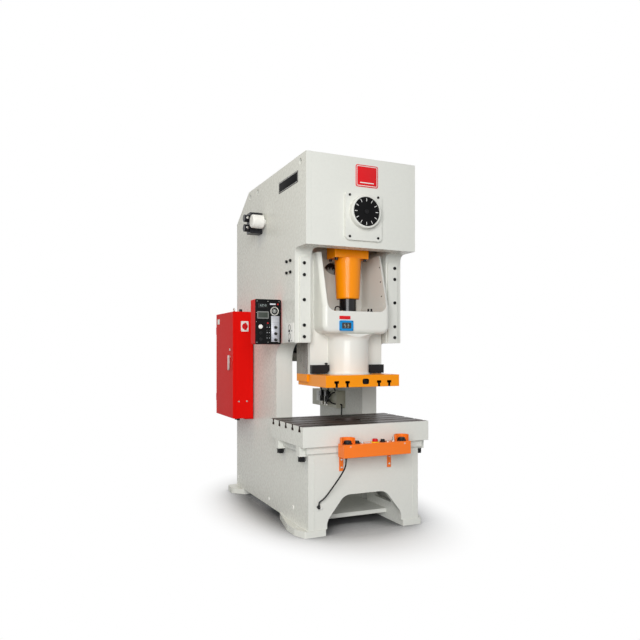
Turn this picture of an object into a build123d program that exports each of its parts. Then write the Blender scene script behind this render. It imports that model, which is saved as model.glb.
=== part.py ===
"""Open-front mechanical stamping press: welded C frame, crank-driven slide, T-slotted table.

Millimetres. X is across the machine, Y runs from the front to the back, Z is up.
The origin is on the floor, at the centre of the four anchor holes.
The slide is at the bottom of its stroke.
"""

import os
from math import acos, cos, pi, radians, sin, tan

from build123d import *

os.makedirs("parts", exist_ok=True)

# Fits
running_fit = 0.05
body_gap = 0.3
overcut = 1

# Heights of the slide and the crank, stacked from the slide at the bottom of its stroke
slide_bottom = 1106
slide_floor_rise = 460
ball_depth = 96
rod_length = 715
crank_radius = 80
slide_floor = slide_bottom + slide_floor_rise
ball_height = slide_floor - ball_depth
pin_height = ball_height + rod_length
crank_height = pin_height + crank_radius

# Main gear, which sets the width and the height of the head
gear_module = 8
gear_teeth = 82
pinion_teeth = 17
gear_tip_radius = gear_module * (gear_teeth / 2 + 1)
gear_head_room = 35
gear_side_room = 64

# Frame
side_plate_thick = 40
side_inner = gear_tip_radius + gear_side_room
frame_half_width = side_inner + side_plate_thick
box_section_width = 131
inner_wall = 30
base_front = -843
base_rear = 842
head_front = -804
upright_front = -596
column_front = -214
column_rear = 100
leg_rear = -290
foot_thick = 45
bed_bottom = 574
bed_plate_thick = 50
ledge_overhang = 20
gib_bottom = 1338
cover_thick = 24
head_below_crank = 248
head_bottom = crank_height - head_below_crank
head_top = crank_height + gear_tip_radius + gear_head_room + cover_thick
chamfer_front = 481
chamfer_drop = 216
chamfer_low = head_top - chamfer_drop
throat_radius = 130
head_radius = 48
head_floor_thick = 30
head_floor_rear = -700
front_plate_thick = 50
bed_front_thick = 40
upright_inner = frame_half_width - box_section_width
bed_top = bed_bottom + bed_plate_thick
head_plate_rear = head_front + front_plate_thick

# Openings in the frame
arch_top = 270
arch_shoulder = 100
arch_side_margin = 11
arch_half_width = upright_inner - arch_side_margin
arch_slant = 133
arch_top_half_width = arch_half_width - arch_slant
arch_corner = 90
lifting_hole_radius = 25
lifting_hole_drop = 51
lifting_hole_height = head_top - lifting_hole_drop
lifting_hole_y = (-699, 246, 450)
plug_hole_radius = 12
plug_holes = ((-562, 149), (-40, 100), (800, 126))
leg_window_margin = 90
leg_window_radius = 70

# Feet
anchor_reach = 30
anchor_half_x = frame_half_width + anchor_reach
anchor_half_y = 700
anchor_hole_radius = 13
front_foot_front = -848
front_foot_reach = 64
front_foot_corner_reach = 26
front_foot_shoulder = -740
front_foot_belly = -600
rear_foot_front = 620
rear_foot_rear = 868
rear_foot_reach = 87
rear_foot_shoulder = 715
foot_curve = 60
foot_corner = 50
foot_nose = 12
base_tie_front = -600

# Table
table_side_overhang = 60
table_half_width = frame_half_width + table_side_overhang
table_front = -891
table_rear = -231
table_thick = 140
table_corner_radius = 80
t_slot_pitch = 130
t_slot_count = 5
t_slot_middle = -570
t_slot_neck = 24
t_slot_foot = 40
t_slot_foot_height = 18
t_slot_depth = 40
die_hole_radius = 97
die_hole_step_radius = 75
die_hole_step_depth = 60
table_top = bed_top + table_thick
lug_width = 60
lug_height = 68
lug_y = (-799, -386)
lug_screw_flats = 46
lug_screw_height = 38

# Slide
slide_y = -565
way_thick = 9
slide_half_width = upright_inner - way_thick
slide_guide_front = -545
slide_guide_rear = -290
slide_top_drop = 265
slide_top = crank_height - slide_top_drop
die_plate_inset = 4.5
die_plate_half_width = slide_half_width - die_plate_inset
die_plate_front = -816
die_plate_rear = -309
die_plate_thick = 85
die_plate_ear_thick = 56
way_front = -505
way_rear = -306
bulge_radius = 156
bulge_flare = 22
bulge_sweep = 55
slide_box_inset = 30
slide_box_half_width = slide_half_width - slide_box_inset
slide_box_front = -730
slide_box_depth = 162
slide_box_bottom = slide_floor - slide_box_depth
slide_box_corner = 60
slide_box_edge = 34
arm_thick = 30
arm_slope_rise = 34
arm_slope_bottom = slide_floor + arm_slope_rise
arm_slope_reach = 115
pocket_back_wall = 40
pocket_corner = 60
plate_slot_edge = 83.5
plate_slot_pitch = 85
outer_slot_x = die_plate_half_width - plate_slot_edge
inner_slot_x = outer_slot_x - plate_slot_pitch
plate_slot_x = (-outer_slot_x, -inner_slot_x, inner_slot_x, outer_slot_x)
plate_slot_neck = 18
plate_slot_foot = 35
plate_slot_foot_height = 18
plate_slot_depth = 45
shank_hole_radius = 25
shank_hole_depth = 70
clamp_recess_x = 19
clamp_recess_drop = 46
clamp_recess_z = slide_bottom - clamp_recess_drop
clamp_recess_width = 52
clamp_recess_height = 40
clamp_recess_corner = 12
clamp_recess_depth = 18
tray_clearance = 5
tray_inner = bulge_radius + tray_clearance
tray_front = -583
tray_height = 64
tray_lift = 5
tray_chamfer = 24
display_x = -97.5
display_drop = 105.5
display_z = slide_floor - display_drop
display_width = 107
display_height = 75
display_depth = 14
display_border = 16
display_inset = 4
window_half_width = 85
window_half_height = 50
window_drop = 74
window_height = slide_top - window_drop
oil_wall_front = -280
oil_wall_thick = 25
oil_wall_clearance = 5

# Crank drive
pin_radius = 95
rod_width = 150
web_radius = 185
web_thick = 48
front_journal_radius = 70
middle_journal_radius = 80
rear_journal_radius = 70
bush_wall = 18
front_journal_inset = 9
front_bush_inset = 14
web_clearance = 4
rear_journal_overhang = 10
dial_shaft_radius = 15
ball_radius = 95
screw_radius = 63
screw_show = 99
screw_hold = 150
rod_bottom = slide_floor + screw_show
screw_top = rod_bottom + screw_hold
rod_bottom_radius = 87.5
rod_top_radius = 100
flange_drop = 140
flange_height = 79
flange_half_width = 141.5
rod_mouth_chamfer = 6
flange_corner = 10
retainer_radius = 125
retainer_mouth_radius = 78
rod_screw_x = 118
rod_screw_y = 50
rod_screw_radius = 12
rod_screw_height = 18
flange_top = pin_height - flange_drop
flange_bottom = flange_top - flange_height
web_side_clearance = 3
pin_half_length = rod_top_radius + web_side_clearance
web_outer = pin_half_length + body_gap + web_thick
front_web_face = slide_y - web_outer
rear_web_face = slide_y + web_outer

# Gear train
pressure_angle = 20
backlash = 0.6
gear_front = -240
gear_face = 100
gear_hub_radius = 130
gear_rim_width = 40
gear_recess = 30
gear_hole_count = 6
gear_hole_radius = 50
pinion_shaft_radius = 50
bearing_outer_radius = 85
bearing_width = 60
bearing_shoulder = 10
pinion_overhang = 5
pinion_height = crank_height - gear_module * (gear_teeth + pinion_teeth) / 2

# Bearing walls
middle_wall_front = rear_web_face + web_clearance
middle_wall_thick = 50
middle_wall_rise = 175
middle_wall_bottom = slide_top + middle_wall_rise
boss_radius = 125
middle_boss_radius = 117
boss_length = 20
rear_wall_front = 40
rear_wall_thick = 50
rear_wall_drop = 229
rear_wall_bottom = pinion_height - rear_wall_drop
drive_wall_front = 330
drive_wall_thick = 40
drive_wall_rise = 35
drive_wall_top = crank_height + drive_wall_rise
pinion_boss_radius = 110
pinion_boss_front = -100

# Flywheel, clutch, motor and belts
flywheel_front = 420
flywheel_width = 140
flywheel_side_room = 30
flywheel_radius = side_inner - flywheel_side_room
belt_sink = 10
flywheel_pitch_radius = flywheel_radius - belt_sink
pulley_pitch_radius = 72
pulley_radius = 80
flywheel_web = 50
flywheel_hub_radius = 110
flywheel_rim = 70
clutch_radius = 190
clutch_length = 90
clutch_cap_radius = 90
clutch_cap_length = 20
clutch_chamfer = 10
shaft_end = 700
belt_count = 4
belt_width = 14
belt_pitch = 27
belt_half_height = 5
motor_radius = 118
motor_front = 130
motor_rear = 400
motor_shaft_radius = 20
motor_shaft_depth = 60
motor_rib_count = 18
motor_rib_height = 12
motor_rib_half_thick = 3
motor_end_cap = 40
motor_foot_margin = 50
motor_foot_thick = 44
terminal_box_size = 100
terminal_box_height = 56
terminal_box_front = 80
terminal_box_sink = 20
motor_drop = 469
motor_mount_thick = 30
motor_mount_front = 120
motor_mount_rear = 440
motor_foot_height = 20
motor_height = pinion_height - motor_drop

# Rear guard
guard_y = 806
guard_thick = 6
guard_bottom = 1180
guard_top_margin = 24
guard_top = chamfer_low - guard_top_margin
louvre_half_length = 130
louvre_height = 14
louvre_pitch = 80
louvre_rows = 12

# Guide strips and screws on the frame
strip_inset = 13
strip_width = 84
strip_inner = upright_inner + strip_inset
strip_outer = strip_inner + strip_width
strip_thick = 20
strip_top_gap = 64
strip_top = head_bottom - strip_top_gap
strip_chamfer = 3
strip_screw_inset = 30
strip_screw_x = strip_outer - strip_screw_inset
strip_screw_rises = (43, 126, 309)
strip_screw_drops = (126, 41)
strip_screw_heights = [gib_bottom + rise for rise in strip_screw_rises]
strip_screw_heights += [strip_top - drop for drop in strip_screw_drops]
strip_screw_radius = 10
strip_screw_height = 8
adjuster_y = (-520, -444)
adjuster_drops = (99, 16)
adjuster_heights = [strip_top - drop for drop in adjuster_drops]
adjuster_radius = 11
adjuster_height = 14

# Dial on the head
dial_half_width = 147
dial_below_crank = 200
dial_above_crank = 139
dial_bottom = crank_height - dial_below_crank
dial_top = crank_height + dial_above_crank
dial_corner = 30
dial_plate_thick = 20
dial_ring_radius = 117.5
dial_ring_bore = 104
dial_ring_reach = 46
dial_ring_edge = 8
dial_disc_radius = 102
dial_disc_thick = 8
dial_disc_inset = 6
dial_screw_inset = 33
dial_screw_x = dial_half_width - dial_screw_inset
dial_screw_rise = 25
dial_screw_drop = 21
dial_screw_heights = (dial_bottom + dial_screw_rise, dial_top - dial_screw_drop)
dial_screw_radius = 9
dial_screw_height = 6

# Electrical cabinet on the left side
cabinet_reach = 188
cabinet_outer = -frame_half_width - cabinet_reach
cabinet_gap = 12
cabinet_front = 330
cabinet_rear = 870
cabinet_bottom = 710
cabinet_top = 1610
cabinet_wall = 4
door_thick = 22
hinge_offset = 12
hinge_pin_radius = 5
hinge_knuckle_radius = 9
hinge_half_length = 20
hinge_lug_height = 12
hinge_leaf_reach = 14
hinge_leaf_thick = 12
hinge_heights = (860, 1460)
handle_y = 418
handle_pivot = 1232
handle_bottom = 1115
handle_width = 24
handle_thick = 12
handle_stand = 6
handle_shaft_radius = 8
handle_head = 12
handle_corner = 10
handle_cam_inset = 4
handle_cam_thick = 6
handle_cam_drop = 40
door_edge = 5
bracket_margin = 60
bracket_height = 40
upper_bracket_drop = 100
cabinet_arm_thick = 12
cabinet_arm_reach = 60
cabinet_arm_front_margin = 30
cabinet_arm_rear_margin = 78
cabinet_arm_y = (
    cabinet_front + cabinet_arm_front_margin,
    cabinet_rear - cabinet_arm_rear_margin - cabinet_arm_reach,
)
isolator_reach = 86
isolator_x = -frame_half_width - isolator_reach
isolator_z = 1486
isolator_radius = 24
isolator_disc = 10
isolator_grip_width = 14
isolator_grip_length = 62
isolator_grip_height = 18
isolator_shaft_reach = 20

# Operator panel
panel_gap = 10
panel_width = 204
panel_inner = -frame_half_width - panel_gap
panel_outer = panel_inner - panel_width
panel_front = -340
panel_rear = -234
panel_bottom = 1328
panel_top = 1664
panel_corner = 10
panel_rim = 8
panel_inset = 4
panel_arm_margin = 25
panel_arm_z = (1378, 1604)
key_pad_shares = (0.46, 0.62)
key_pad_steps = (0.09, 0.12)
key_pad_half_width = 7
key_pad_half_height = 12
panel_ring_shares = (0.745, 0.26)
panel_ring_radius = 33
panel_ring_bore = 26
panel_ring_reach = 3
panel_stem_depth = 18
panel_stem_hole = 20
knob_radius = 11
knob_reach = 16
knob_stem_radius = 4
knob_edge = 3
selector_radius = 16
selector_base = 6
selector_grip_width = 9
selector_grip_length = 30
selector_grip_height = 12
knob_x_share = 0.79
knob_z_shares = (0.62, 0.76, 0.90)
selector_x_share = 0.21
selector_z_share = 0.61
key_z_shares = (0.75, 0.89)
key_radius = 12
key_reach = 9
key_travel = 4
key_edge = 2

# Air valve, silencer and junction box
valve_reach = 142
valve_y = (120, 220)
valve_bottom_drop = 420
valve_height = 170
valve_z = (head_top - valve_bottom_drop, head_top - valve_bottom_drop + valve_height)
valve_corner = 8
solenoid_length = 40
solenoid_radius = 30
solenoid_inset = 45
silencer_radius = 53.5
silencer_reach = 115
silencer_y = 60
silencer_drop = 337
silencer_z = head_top - silencer_drop
silencer_edge = 12
silencer_neck_radius = 24
silencer_neck_length = 20
junction_width = 90
junction_y = (280, 820)
junction_z = (767, 918)
junction_corner = 6
filter_head_reach = 44
filter_head_half = 22
filter_head_z = (868, 908)
filter_bowl_bottom = 787
filter_bowl_offset = 26
bowl_radius = 20
bowl_y = (430, 540)

# Two-hand control box
console_half_width = 260
console_front = -1032
console_rear = -940
console_bottom = 559
console_top = 648
console_wall = 3
palm_inset = 48
palm_x = console_half_width - palm_inset
palm_radius = 26.5
palm_travel = 6
palm_height = 18
palm_edge = 10
guard_ring_radius = 53
guard_ring_wall = 4
guard_ring_height = 42
guard_ring_opening = 12
bracket_inset = 68
bracket_x = console_half_width - bracket_inset
bracket_width = 30
bracket_thick = 5
bracket_bottom = 440
shelf_inset = 30
button_stem_radius = 6
button_stem_depth = 12
push_button_radius = 15
push_travel = 5
push_height = 14
push_edge = 5
stop_radius = 20
stop_height = 20
stop_edge = 8
run_button_x = -139
stop_button_x = 0
inch_button_x = 60
toggle_x = 143
toggle_base_radius = 13
toggle_base_height = 8
toggle_lever_half_thick = 3
toggle_lever_half_width = 10
toggle_lever_height = 22

# Cable from the console to the left leg, in the order it is followed
cable_radius = 5.3
gland_radius = 9
gland_length = 14
elbow_height = 24
elbow_drop = 15
cabinet_gland_reach = 100
cabinet_gland_x = -frame_half_width - cabinet_gland_reach
cabinet_gland_set_back = 140
cabinet_gland_pitch = 60
first_gland_y = cabinet_front + cabinet_gland_set_back
cabinet_gland_y = (first_gland_y, first_gland_y + cabinet_gland_pitch)
cabinet_gland_radius = 14
cabinet_gland_length = 30
cable_route = (
    (-222, -985, 545),
    (-222, -985, 516),
    (-225, -968, 478),
    (-237, -946, 438),
    (-257, -924, 394),
    (-283, -903, 346),
    (-310, -884, 299),
    (-334, -871, 266),
    (-354, -864, 250),
    (-369, -862, 240),
    (-369, -862, 221),
)
console_gland_x, console_gland_y = cable_route[0][:2]
leg_gland_x, leg_gland_y, leg_gland_top = cable_route[-1]


def block(x, y, z):
    """A rectangular block between two limits on each axis."""
    size = (x[1] - x[0], y[1] - y[0], z[1] - z[0])
    return Pos((x[0] + x[1]) / 2, (y[0] + y[1]) / 2, (z[0] + z[1]) / 2) * Box(*size)


def outline(points, radii=0):
    """A closed face through the points, with each corner rounded by its radius."""
    return make_face(FilletPolyline(*points, radius=radii, close=True))


def along_x(face, x):
    return extrude(Plane.YZ.offset(x[0]) * face, x[1] - x[0])


def along_y(face, y):
    return extrude(Plane.XZ.offset(-y[1]) * face, y[1] - y[0])


def along_z(face, z):
    return extrude(Plane.XY.offset(z[0]) * face, z[1] - z[0])


def bar_x(x, y, z, radius):
    return along_x(Pos(y, z) * Circle(radius), x)


def bar_y(x, y, z, radius):
    return along_y(Pos(x, z) * Circle(radius), y)


def bar_z(x, y, z, radius):
    return along_z(Pos(x, y) * Circle(radius), z)


def other_side(shape):
    """The same piece on the other side of the machine."""
    return mirror(shape, about=Plane.YZ)


def both_sides(shape):
    return [shape, other_side(shape)]


def join(shapes):
    """Fuses pieces that are one solid in the real part."""
    whole = shapes[0]
    for shape in shapes[1:]:
        whole = whole + shape
    return whole


def save(name, *shapes):
    """Writes one node; several shapes stay separate solids."""
    solids = []
    for shape in shapes:
        solids.extend(shape.solids())
    export_step(solids[0] if len(solids) == 1 else Compound(children=solids), f"parts/{name}.step")


def ring_y(x, y, z, outer, inner):
    return bar_y(x, y, z, outer) - bar_y(x, y, z, inner)


# Frame


def side_plate():
    """Left outer plate: the whole C of the press in one flame-cut sheet."""
    points = [
        (base_front, foot_thick),
        (base_rear, foot_thick),
        (base_rear, chamfer_low),
        (chamfer_front, head_top),
        (head_front, head_top),
        (head_front, head_bottom),
        (upright_front, head_bottom),
        (upright_front, gib_bottom),
        (column_front, gib_bottom),
        (column_front, bed_bottom),
        (base_front, bed_bottom),
    ]
    radii = [0, 0, 0, 0, 0, 0, head_radius, 0, throat_radius, 0, 0]
    span = (-frame_half_width, -side_inner)
    plate = along_x(outline(points, radii), span)
    for y in lifting_hole_y:
        plate -= bar_x(span, y, lifting_hole_height, lifting_hole_radius)
    for y, z in plug_holes:
        plate -= bar_x(span, y, z, plug_hole_radius)
    return plate


def column():
    """Left box section behind the table, with the guide housing and head floor it grows into."""
    outer = outline(
        [
            (column_front, foot_thick),
            (column_rear, foot_thick),
            (column_rear, head_bottom + head_floor_thick),
            (head_plate_rear, head_bottom + head_floor_thick),
            (head_plate_rear, head_bottom),
            (upright_front, head_bottom),
            (upright_front, gib_bottom),
            (column_front, gib_bottom),
        ],
        [0, 0, 0, 0, 0, head_radius, 0, throat_radius],
    )
    hollow = outline(
        [
            (column_front + inner_wall, foot_thick + inner_wall),
            (column_rear - inner_wall, foot_thick + inner_wall),
            (column_rear - inner_wall, head_bottom),
            (upright_front + inner_wall, head_bottom),
            (upright_front + inner_wall, gib_bottom + inner_wall),
            (column_front + inner_wall, gib_bottom + inner_wall),
        ],
        [0, 0, 0, 0, 0, throat_radius],
    )
    shell = along_x(outer, (-side_inner, -upright_inner))
    return shell - along_x(hollow, (-side_inner, -upright_inner - inner_wall))


def front_leg():
    """Left leg: inner plate with a window, and the rear plate that closes the box."""
    front = base_front + bed_front_thick
    leg = block((-side_inner, -upright_inner), (front, leg_rear), (foot_thick, bed_bottom))
    hollow_y = (front, leg_rear - inner_wall)
    leg -= block((-side_inner, -upright_inner - inner_wall), hollow_y, (foot_thick, bed_bottom))
    window = outline(
        [
            (front + leg_window_margin, foot_thick + leg_window_margin),
            (leg_rear - leg_window_margin, foot_thick + leg_window_margin),
            (leg_rear - leg_window_margin, bed_bottom - leg_window_margin),
            (front + leg_window_margin, bed_bottom - leg_window_margin),
        ],
        leg_window_radius,
    )
    return leg - along_x(window, (-upright_inner - inner_wall, -upright_inner))


def bed_front():
    """Front plate of the bed, with the arch between the legs."""
    y = (base_front, base_front + bed_front_thick)
    plate = block((-side_inner, side_inner), y, (foot_thick, bed_bottom))
    arch = outline(
        [
            (-arch_half_width, 0),
            (-arch_half_width, arch_shoulder),
            (-arch_top_half_width, arch_top),
            (arch_top_half_width, arch_top),
            (arch_half_width, arch_shoulder),
            (arch_half_width, 0),
        ],
        [0, arch_corner, arch_corner, arch_corner, arch_corner, 0],
    )
    return plate - along_y(arch, y)


def base_tie_plate():
    """Floor of the frame between the columns."""
    x = (-upright_inner, upright_inner)
    return block(x, (base_tie_front, base_rear), (foot_thick, foot_thick + inner_wall))


def lug_span(y):
    return (y - lug_width / 2, y + lug_width / 2)


def bed_plate():
    """Ledge plate under the table; the scrap hole lines up with the die hole."""
    reach = frame_half_width + ledge_overhang
    plate = block((-reach, reach), (base_front - ledge_overhang, column_front), (bed_bottom, bed_top))
    plate -= bar_z(0, slide_y, (bed_bottom, bed_top), die_hole_step_radius)
    for y in lug_y:
        for side in (-1, 1):
            notch = sorted((side * frame_half_width, side * reach))
            plate -= block(notch, lug_span(y), (bed_bottom, bed_top))
    return plate


def lugs():
    """Hold-down lugs welded to the frame under the table's ends."""
    pieces = []
    for y in lug_y:
        lug = block((-table_half_width, -frame_half_width), lug_span(y), (bed_top - lug_height, bed_top))
        pieces += both_sides(lug)
    return pieces


def foot(points, radii, side_y):
    plate = along_z(outline(points, radii), (0, foot_thick))
    return plate - bar_z(anchor_half_x, side_y, (0, foot_thick), anchor_hole_radius)


def feet():
    edge = frame_half_width
    front = foot(
        [
            (upright_inner, front_foot_front),
            (edge + front_foot_corner_reach, front_foot_front),
            (edge + front_foot_reach, front_foot_shoulder),
            (edge + front_foot_reach, front_foot_belly),
            (edge, leg_rear),
            (upright_inner, leg_rear),
        ],
        [0, foot_nose, foot_corner, foot_curve, 0, 0],
        -anchor_half_y,
    )
    rear = foot(
        [
            (upright_inner, rear_foot_front),
            (edge, rear_foot_front),
            (edge + rear_foot_reach, rear_foot_shoulder),
            (edge + rear_foot_reach, rear_foot_rear),
            (upright_inner, rear_foot_rear),
        ],
        [0, 0, foot_curve, foot_corner, 0],
        anchor_half_y,
    )
    return both_sides(front) + both_sides(rear)


def head_front_plate():
    """Front plate of the head with the boss of the front crank bearing, and the floor strip behind it."""
    plate = block((-side_inner, side_inner), (head_front, head_plate_rear), (head_bottom, head_top))
    boss = bar_y(0, (head_plate_rear, front_web_face - web_clearance), crank_height, boss_radius)
    bore = bar_y(0, (head_front, front_web_face), crank_height, front_journal_radius + bush_wall)
    floor = block(
        (-upright_inner, upright_inner),
        (head_plate_rear, head_floor_rear),
        (head_bottom, head_bottom + head_floor_thick),
    )
    return join([plate, boss, floor]) - bore


def head_cover():
    """Top plate bent down over the rear chamfer."""
    run = base_rear - chamfer_front
    drop = head_top - chamfer_low
    slope = (run * run + drop * drop) ** 0.5
    inner_low = chamfer_low - cover_thick * slope / run
    inner_bend = base_rear - (head_top - cover_thick - inner_low) * run / drop
    points = [
        (head_plate_rear, head_top),
        (chamfer_front, head_top),
        (base_rear, chamfer_low),
        (base_rear, inner_low),
        (inner_bend, head_top - cover_thick),
        (head_plate_rear, head_top - cover_thick),
    ]
    return along_x(outline(points), (-side_inner, side_inner))


def middle_wall():
    """Wall over the slide that carries the crank's middle bearing."""
    y = (middle_wall_front, middle_wall_front + middle_wall_thick)
    wall = block((-side_inner, side_inner), y, (middle_wall_bottom, head_top - cover_thick))
    wall += bar_y(0, (y[1], y[1] + boss_length), crank_height, middle_boss_radius)
    return wall - bar_y(0, (y[0], y[1] + boss_length), crank_height, middle_journal_radius + bush_wall)


def wall_outline(bottom):
    """Wall that fills the space between the columns and, above them, between the side plates."""
    shoulder = head_bottom + head_floor_thick
    top = head_top - cover_thick
    return outline(
        [
            (-upright_inner, bottom),
            (upright_inner, bottom),
            (upright_inner, shoulder),
            (side_inner, shoulder),
            (side_inner, top),
            (-side_inner, top),
            (-side_inner, shoulder),
            (-upright_inner, shoulder),
        ]
    )


def oil_wall():
    """Thin wall between the slide and the gear, with the pointed opening opposite the slide's."""
    y = (oil_wall_front, oil_wall_front + oil_wall_thick)
    wall = along_y(wall_outline(rear_wall_bottom), y)
    wall -= bar_y(0, y, crank_height, middle_journal_radius + oil_wall_clearance)
    return wall - rear_window(y)


def rear_wall():
    """Wall between the columns that carries the crank's rear bearing and the pinion shaft."""
    y = (rear_wall_front, rear_wall_front + rear_wall_thick)
    boss = bar_y(0, (pinion_boss_front, y[0]), pinion_height, pinion_boss_radius)
    wall = along_y(wall_outline(rear_wall_bottom), y) + boss
    wall -= bar_y(0, y, crank_height, rear_journal_radius + bush_wall)
    return wall - bar_y(0, (pinion_boss_front, y[1]), pinion_height, bearing_outer_radius)


def drive_wall():
    """Wall in front of the flywheel that carries the rear end of the pinion shaft."""
    y = (drive_wall_front, drive_wall_front + drive_wall_thick)
    wall = block((-side_inner, side_inner), y, (rear_wall_bottom, drive_wall_top))
    boss_front = y[1] - bearing_width - bearing_shoulder
    wall += bar_y(0, (boss_front, y[0]), pinion_height, pinion_boss_radius)
    return wall - bar_y(0, (boss_front, y[1]), pinion_height, bearing_outer_radius)


def crank_bushes():
    middle_rear = middle_wall_front + middle_wall_thick + boss_length
    spans = (
        ((head_front + front_bush_inset, front_web_face - web_clearance), front_journal_radius),
        ((middle_wall_front, middle_rear), middle_journal_radius),
        ((rear_wall_front, rear_wall_front + rear_wall_thick), rear_journal_radius),
    )
    return [ring_y(0, y, crank_height, r + bush_wall, r + running_fit) for y, r in spans]


def pinion_bearings():
    drive_rear = drive_wall_front + drive_wall_thick
    starts = (
        pinion_boss_front,
        rear_wall_front + rear_wall_thick - bearing_width,
        drive_rear - bearing_width,
    )
    bearings = []
    for y in starts:
        span = (y, y + bearing_width)
        bore = pinion_shaft_radius + running_fit
        bearings.append(ring_y(0, span, pinion_height, bearing_outer_radius, bore))
    return bearings


def hexagon(flats, x, y, z):
    return along_z(Pos(x, y) * RegularPolygon(flats / 2, 6, major_radius=False), z)


def frame_screws():
    """Guide strip screws, gib adjusters, dial screws and the table's hold-down screws."""
    screws = []
    strip_face = upright_front - strip_thick
    for z in strip_screw_heights:
        head = bar_y(-strip_screw_x, (strip_face - strip_screw_height, strip_face), z, strip_screw_radius)
        screws += both_sides(head)
    for y in adjuster_y:
        for z in adjuster_heights:
            span = (-frame_half_width - adjuster_height, -frame_half_width)
            screws += both_sides(bar_x(span, y, z, adjuster_radius))
    dial_face = head_front - dial_plate_thick
    for z in dial_screw_heights:
        head = bar_y(-dial_screw_x, (dial_face - dial_screw_height, dial_face), z, dial_screw_radius)
        screws += both_sides(head)
    lug_bottom = bed_top - lug_height
    lug_middle = (table_half_width + frame_half_width) / 2
    for y in lug_y:
        head = hexagon(lug_screw_flats, -lug_middle, y, (lug_bottom - lug_screw_height, lug_bottom))
        screws += both_sides(head)
    return screws


def guide_strips():
    """Strips that clamp the gibs to the front of the guide housings."""
    strip = block(
        (-strip_outer, -strip_inner), (upright_front - strip_thick, upright_front), (gib_bottom, strip_top)
    )
    return both_sides(chamfer(strip.edges().filter_by(Axis.Z).group_by(Axis.Y)[0], strip_chamfer))


def table():
    """Bolster: T-slots across the top, a stepped die hole, round lower rear corner."""
    profile = outline(
        [(table_front, bed_top), (table_rear, bed_top), (table_rear, table_top), (table_front, table_top)],
        [0, table_corner_radius, 0, 0],
    )
    span = (-table_half_width, table_half_width)
    plate = along_x(profile, span)
    slot_bottom = table_top - t_slot_depth
    foot_top = slot_bottom + t_slot_foot_height
    for i in range(t_slot_count):
        y = t_slot_middle + (i - (t_slot_count - 1) / 2) * t_slot_pitch
        plate -= block(span, (y - t_slot_foot / 2, y + t_slot_foot / 2), (slot_bottom, foot_top))
        plate -= block(span, (y - t_slot_neck / 2, y + t_slot_neck / 2), (foot_top, table_top))
    plate -= bar_z(0, slide_y, (table_top - die_hole_step_depth, table_top), die_hole_radius)
    return plate - bar_z(0, slide_y, (bed_top, table_top), die_hole_step_radius)


# Slide


def arm_slope_face():
    """Side view of the slide's front form: upright, then leaning back along the arms."""
    return outline(
        [
            (slide_guide_front, slide_box_bottom),
            (slide_box_front, slide_box_bottom),
            (slide_box_front, arm_slope_bottom),
            (slide_box_front + arm_slope_reach, slide_top),
            (slide_guide_front, slide_top),
        ]
    )


def slide_front_form():
    """The rounded box in front of the guides and the two arms that rise from it."""
    half = slide_box_half_width
    front_view = outline(
        [(-half, slide_box_bottom), (half, slide_box_bottom), (half, slide_top), (-half, slide_top)],
        [slide_box_corner, slide_box_corner, 0, 0],
    )
    form = along_y(front_view, (slide_box_front, slide_guide_front))
    form = form & along_x(arm_slope_face(), (-half, half))
    upright = form.faces().filter_by(Plane.XZ).sort_by(Axis.Y)[0]
    front_edges = [e for e in upright.edges() if e.center().Z < arm_slope_bottom - overcut]
    slope = form.faces().sort_by_distance((0, slide_box_front, (arm_slope_bottom + slide_top) / 2))[0]
    front_edges += [e for e in slope.edges() if abs(e.center().X) > half - overcut]
    return fillet(front_edges, slide_box_edge)


def pocket():
    """Space between the arms, open to the front and the top."""
    half = slide_box_half_width - arm_thick
    top = slide_top + overcut
    face = outline(
        [(-half, slide_floor), (half, slide_floor), (half, top), (-half, top)],
        [pocket_corner, pocket_corner, 0, 0],
    )
    return along_y(face, (slide_box_front - overcut, slide_guide_rear - pocket_back_wall))


def bulge():
    """Turned column in the slide's front, flared into the box above and the plate below."""
    top = slide_box_bottom
    r = bulge_radius
    reach = r + bulge_sweep
    profile = make_face(
        [
            Line((0, slide_bottom), (r + bulge_flare, slide_bottom)),
            RadiusArc((r + bulge_flare, slide_bottom), (r, slide_bottom + bulge_flare), bulge_flare),
            Line((r, slide_bottom + bulge_flare), (r, top - bulge_sweep)),
            RadiusArc((r, top - bulge_sweep), (reach, top), bulge_sweep),
            Line((reach, top), (0, top)),
            Line((0, top), (0, slide_bottom)),
        ]
    )
    turned = Pos(0, slide_y, 0) * revolve(Plane.XZ * profile, Axis.Z)
    return turned & block((-reach, reach), (slide_box_front, slide_guide_rear), (slide_bottom, top))


def rear_window(y):
    """Pointed opening between two arcs, through what lies behind the rod."""
    w, h = window_half_width, window_half_height
    z = window_height
    face = make_face(
        [ThreePointArc((-w, z), (0, z + h), (w, z)), ThreePointArc((w, z), (0, z - h), (-w, z))]
    )
    return along_y(face, y)


def slide_body():
    """One casting: guide block, turned column, rounded box, arms, pocket and ball seat."""
    guide_x = (-slide_half_width, slide_half_width)
    guide = block(guide_x, (slide_guide_front, slide_guide_rear), (slide_bottom, slide_top))
    back_wall = (slide_guide_rear - pocket_back_wall, slide_guide_rear)
    body = join([guide, slide_front_form(), bulge()]) - pocket() - rear_window(back_wall)
    body -= bar_z(0, slide_y, (ball_height, slide_floor), retainer_radius)
    seat = Pos(0, slide_y, ball_height) * Sphere(ball_radius + body_gap)
    return body - seat


def ball_retainer():
    """Ring that holds the ball down in its seat."""
    ring = bar_z(0, slide_y, (ball_height, slide_floor), retainer_radius)
    ring -= bar_z(0, slide_y, (ball_height, slide_floor), retainer_mouth_radius)
    return ring - Pos(0, slide_y, ball_height) * Sphere(ball_radius + body_gap)


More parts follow.
